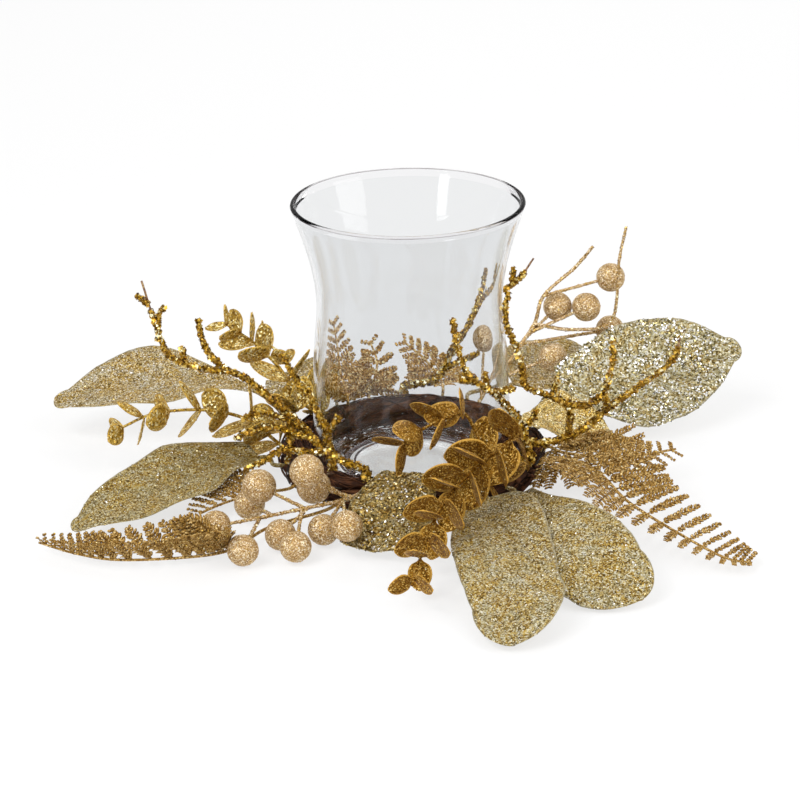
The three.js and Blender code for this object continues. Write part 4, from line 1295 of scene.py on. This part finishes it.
# "from" is the point of the path that a berry's own stem leaves at, as with the forks of the twigs.
sprays = {
    "berries_front": {
        "root": (252, 30),
        "path": [(248, 25, 18), (242, 38, 18), (236, 47, 16), (230, 57, 13)],
        "berries": [
            {"at": (239.7, 42, 37), "from": 1, "radius": 8.6},
            {"at": (235, 25, 21), "from": 0.8, "radius": 8.6},
            {"at": (226.7, 50, 26), "from": 2.5, "radius": 8.6},
            {"at": (218.6, 44, 10), "from": 3.6},
            {"at": (222.1, 71, 8.2), "from": 3.8},
            {"at": (235, 84, 8.2), "from": 4},
            {"at": (237, 59, 8.2), "from": 2.4},
            {"at": (243.5, 68, 8.2), "from": 2.6},
            {"at": (245, 44, 8.2), "from": 1.2},
            {"at": (253.8, 55, 17), "from": 1.2},
        ],
    },
    "berries_back": {
        "root": (57, 60),
        "path": [(49, 30, 44), (47.5, 39, 55), (46.5, 44, 69), (42.4, 60, 83), (39.3, 67, 95)],
        "berries": [
            {"at": (38.7, 78.8, 75), "from": 3},
            {"at": (39.7, 63, 61), "from": 1.4},
            {"at": (46.3, 55, 60), "from": 1.2},
            {"at": (41, 84, 42), "from": 1},
            {"at": (44, 46, 34), "from": 0.4},
            {"at": (60, 26, 46), "from": 0},
        ],
        "spurs": [
            [(47.5, 38, 54), (41, 56, 49), (36, 74, 53), (34, 75, 88), (33.6, 79, 107)],
        ],
    },
}
berryShape = {
    "radius": 7.8, "seatDepth": 3.0, "segments": 40, "rings": 24,
    "dimple": 0.5, "dimpleAngle": 0.25, "uneven": 0.012, "chips": 420, "chip": 0.6,
    "stem": 1.2, "stemTip": 0.8, "stemSteps": 60, "stemSides": 9, "stemBumps": 0.12,
    "sideStem": 0.9, "sideSteps": 10, "spur": (1.0, 0.7), "spurSteps": 40,
    "stemChips": 2200, "stemChip": 0.9,
}


def berryBall(name, node, centre, radius, towardsStem, seed):
    # a ball with a dimple where its stem goes in
    turn = upward.rotation_difference(towardsStem)
    sections, marks = [], []
    hole = math.asin((berryShape["stemTip"] + 0.15) / radius)
    for i in range(berryShape["rings"] + 1):
        angle = hole + (math.pi - 0.02 - hole) * i / berryShape["rings"]
        sink = berryShape["dimple"] * math.exp(-(angle / berryShape["dimpleAngle"]) ** 2)
        ring = []
        for k in range(berryShape["segments"]):
            a = 2 * math.pi * k / berryShape["segments"]
            away = Vector((math.sin(angle) * math.cos(a), math.sin(angle) * math.sin(a), math.cos(angle)))
            bumps = noise.noise(away * 1.7 + Vector((seed, 0, 0)))
            ring.append(centre + turn @ (away * (radius * (1 + berryShape["uneven"] * bumps) - sink)))
        sections.append(ring)
        marks.append((angle / math.pi, 0))
    growth = Growth()
    growth.skin(list(reversed(sections)), list(reversed(marks)))
    growth.flakes(berryShape["chips"], berryShape["chip"], seed, tilt=0.35, lift=0.05)
    growth.build(name, [finishes["berry"], finishes["goldChip"]], [node], "berry_glitter")


def knobblyStem(growth, line, first, last, steps):
    spots = framesAlong(line, steps, hint=stemHint)
    growth.skin([roundSection(spot, (first + (last - first) * i / steps)
                              * (1 + berryShape["stemBumps"] * noise.noise(spot[0] * 0.4)),
                              berryShape["stemSides"])
                 for i, spot in enumerate(spots)], [(0, 0)] * (steps + 1))


def makeSpray(name, spray, seed):
    points = rootedIn(*spray["root"]) + [place(*p) for p in spray["path"]]
    growth, tipRadius = Growth(), berryShape["stemTip"]
    knobblyStem(growth, points, berryShape["stem"], tipRadius, berryShape["stemSteps"])
    for k, berry in enumerate(spray["berries"]):
        centre, radius = place(*berry["at"]), berry.get("radius", berryShape["radius"])
        fork = curvePoint(points, (berry["from"] + 2) / (len(points) - 1))
        towards = (fork - centre).normalized()
        tip = centre + towards * (radius - berryShape["seatDepth"])
        line = [fork, fork.lerp(tip, 0.5), tip]
        knobblyStem(growth, line, berryShape["sideStem"], tipRadius, berryShape["sideSteps"])
        berryBall(f"{name}Ball{k + 1}", f"{name}_{k + 1}", centre, radius, towards, seed + k)
    for spur in spray.get("spurs", []):
        knobblyStem(growth, [place(*p) for p in spur], *berryShape["spur"], berryShape["spurSteps"])
    growth.flakes(berryShape["stemChips"], berryShape["stemChip"], seed, tilt=0.6, lift=0.1)
    growth.build(name + "Stem", [finishes["berry"], finishes["goldChip"]], [name + "_stem"], "berry_glitter")


for seed, (name, spray) in enumerate(sprays.items()):
    makeSpray(name, spray, 80 + 20 * seed)
print("berry sprays made:", len(sprays))


# floor, light and camera

studio = {
    "floorSize": 8.0, "floorDrop": 0.0005, "floorColour": (0.92, 0.92, 0.92), "floorRoughness": 0.9,
    "world": 0.55,                # strength of the light from all sides
    "shadowShare": 0.3,           # how much of the floor's own shading shows
}


def whiteFor(tree):
    # 1 for what the camera, mirrors and glass see, which is to be pure white, and 0 for the rest
    path = tree.nodes.new("ShaderNodeLightPath")
    seen = path.outputs["Is Camera Ray"]
    for ray in ("Is Transmission Ray", "Is Glossy Ray"):
        either = addNode(tree, "ShaderNodeMath", operation="MAXIMUM")
        tree.links.new(seen, either.inputs[0])
        tree.links.new(path.outputs[ray], either.inputs[1])
        seen = either.outputs[0]
    return seen


def makeFloor():
    half, z = studio["floorSize"] / 2, -studio["floorDrop"]
    mesh = bpy.data.meshes.new("floor")
    corners = [(-half, -half, z), (half, -half, z), (half, half, z), (-half, half, z)]
    mesh.from_pydata(corners, [], [(0, 1, 2, 3)])
    floor = bpy.data.objects.new("floor", mesh)
    bpy.context.scene.collection.objects.link(floor)
    material, tree, shader, output = newMaterial("paleFloor")
    shader.inputs["Base Color"].default_value = (*studio["floorColour"], 1)
    shader.inputs["Roughness"].default_value = studio["floorRoughness"]
    shader.inputs["Specular IOR Level"].default_value = 0.1
    glow = addNode(tree, "ShaderNodeEmission", Strength=1.0)
    blend = tree.nodes.new("ShaderNodeMixShader")
    share = addNode(tree, "ShaderNodeMath", operation="MULTIPLY")
    share.inputs[1].default_value = 1 - studio["shadowShare"]
    tree.links.new(whiteFor(tree), share.inputs[0])
    tree.links.new(share.outputs[0], blend.inputs[0])
    tree.links.new(shader.outputs[0], blend.inputs[1])
    tree.links.new(glow.outputs[0], blend.inputs[2])
    tree.links.new(blend.outputs[0], output.inputs["Surface"])
    mesh.materials.append(material)


def makeWorld():
    world = bpy.data.worlds.new("studioWorld")
    bpy.context.scene.world = world
    world.use_nodes = True
    tree = world.node_tree
    tree.nodes.clear()
    output = tree.nodes.new("ShaderNodeOutputWorld")
    soft = addNode(tree, "ShaderNodeBackground", Strength=studio["world"])
    soft.inputs["Color"].default_value = (1, 1, 1, 1)
    white = addNode(tree, "ShaderNodeBackground", Strength=1.0)
    blend = tree.nodes.new("ShaderNodeMixShader")
    tree.links.new(whiteFor(tree), blend.inputs[0])
    tree.links.new(soft.outputs[0], blend.inputs[1])
    tree.links.new(white.outputs[0], blend.inputs[2])
    tree.links.new(blend.outputs[0], output.inputs["Surface"])


# metres from the object, which stands at the middle, and watts
lamps = {
    "keySoftbox": {"at": (-0.7, -1.0, 1.3), "size": (0.9, 0.9), "power": 12.5},
    "fillSoftbox": {"at": (1.25, -0.58, 0.7), "size": (0.85, 0.95), "power": 7.5},
    "backSoftbox": {"at": (0.2, 1.3, 1.1), "size": (1.2, 0.5), "power": 6},
    "stripSoftbox": {"at": (-0.84, -1.02, 0.59), "size": (0.26, 0.42), "power": 2.3},
    "sparkleLampLeft": {"at": (-1.1, -0.5, 1.6), "size": (0.08, 0.08), "power": 3},
    "sparkleLampRight": {"at": (0.8, -1.3, 1.5), "size": (0.08, 0.08), "power": 3},
}


def makeLamps():
    target = Vector((0, 0, 0.05))
    for name, look in lamps.items():
        light = bpy.data.lights.new(name, "AREA")
        light.shape = "RECTANGLE"
        light.size, light.size_y = look["size"]
        light.energy = look["power"]
        lamp = bpy.data.objects.new(name, light)
        lamp.location = look["at"]
        lamp.rotation_mode = "QUATERNION"
        lamp.rotation_quaternion = (target - Vector(look["at"])).to_track_quat("-Z", "Y")
        bpy.context.scene.collection.objects.link(lamp)


cameraView = {
    "distance": 1.6, "elevation": 22.38, "yaw": 0.212, "pitch": 1.32, "roll": -1.01,
    "lens": 136.8, "sensor": 36, "clip": (0.05, 50),
}


def makeCamera(view):
    data = bpy.data.cameras.new("camera")
    data.lens = view["lens"]
    data.sensor_width = view["sensor"]
    camera = bpy.data.objects.new("camera", data)
    elevation = math.radians(view["elevation"])
    back = Vector((0, -math.cos(elevation), math.sin(elevation)))
    right = Vector((1, 0, 0))
    axes = Matrix((right, back.cross(right), back)).transposed()
    turn = Matrix.Identity(3)
    for way, axis in (("yaw", "Y"), ("pitch", "X"), ("roll", "Z")):
        turn = turn @ Matrix.Rotation(math.radians(view[way]), 3, axis)
    camera.matrix_world = Matrix.Translation(back * view["distance"]) @ (axes @ turn).to_4x4()
    data.clip_start, data.clip_end = view["clip"]
    bpy.context.scene.collection.objects.link(camera)
    bpy.context.scene.camera = camera


makeFloor()
makeWorld()
makeLamps()
makeCamera(cameraView)
bpy.context.scene.view_settings.view_transform = "Standard"
print("studio made")
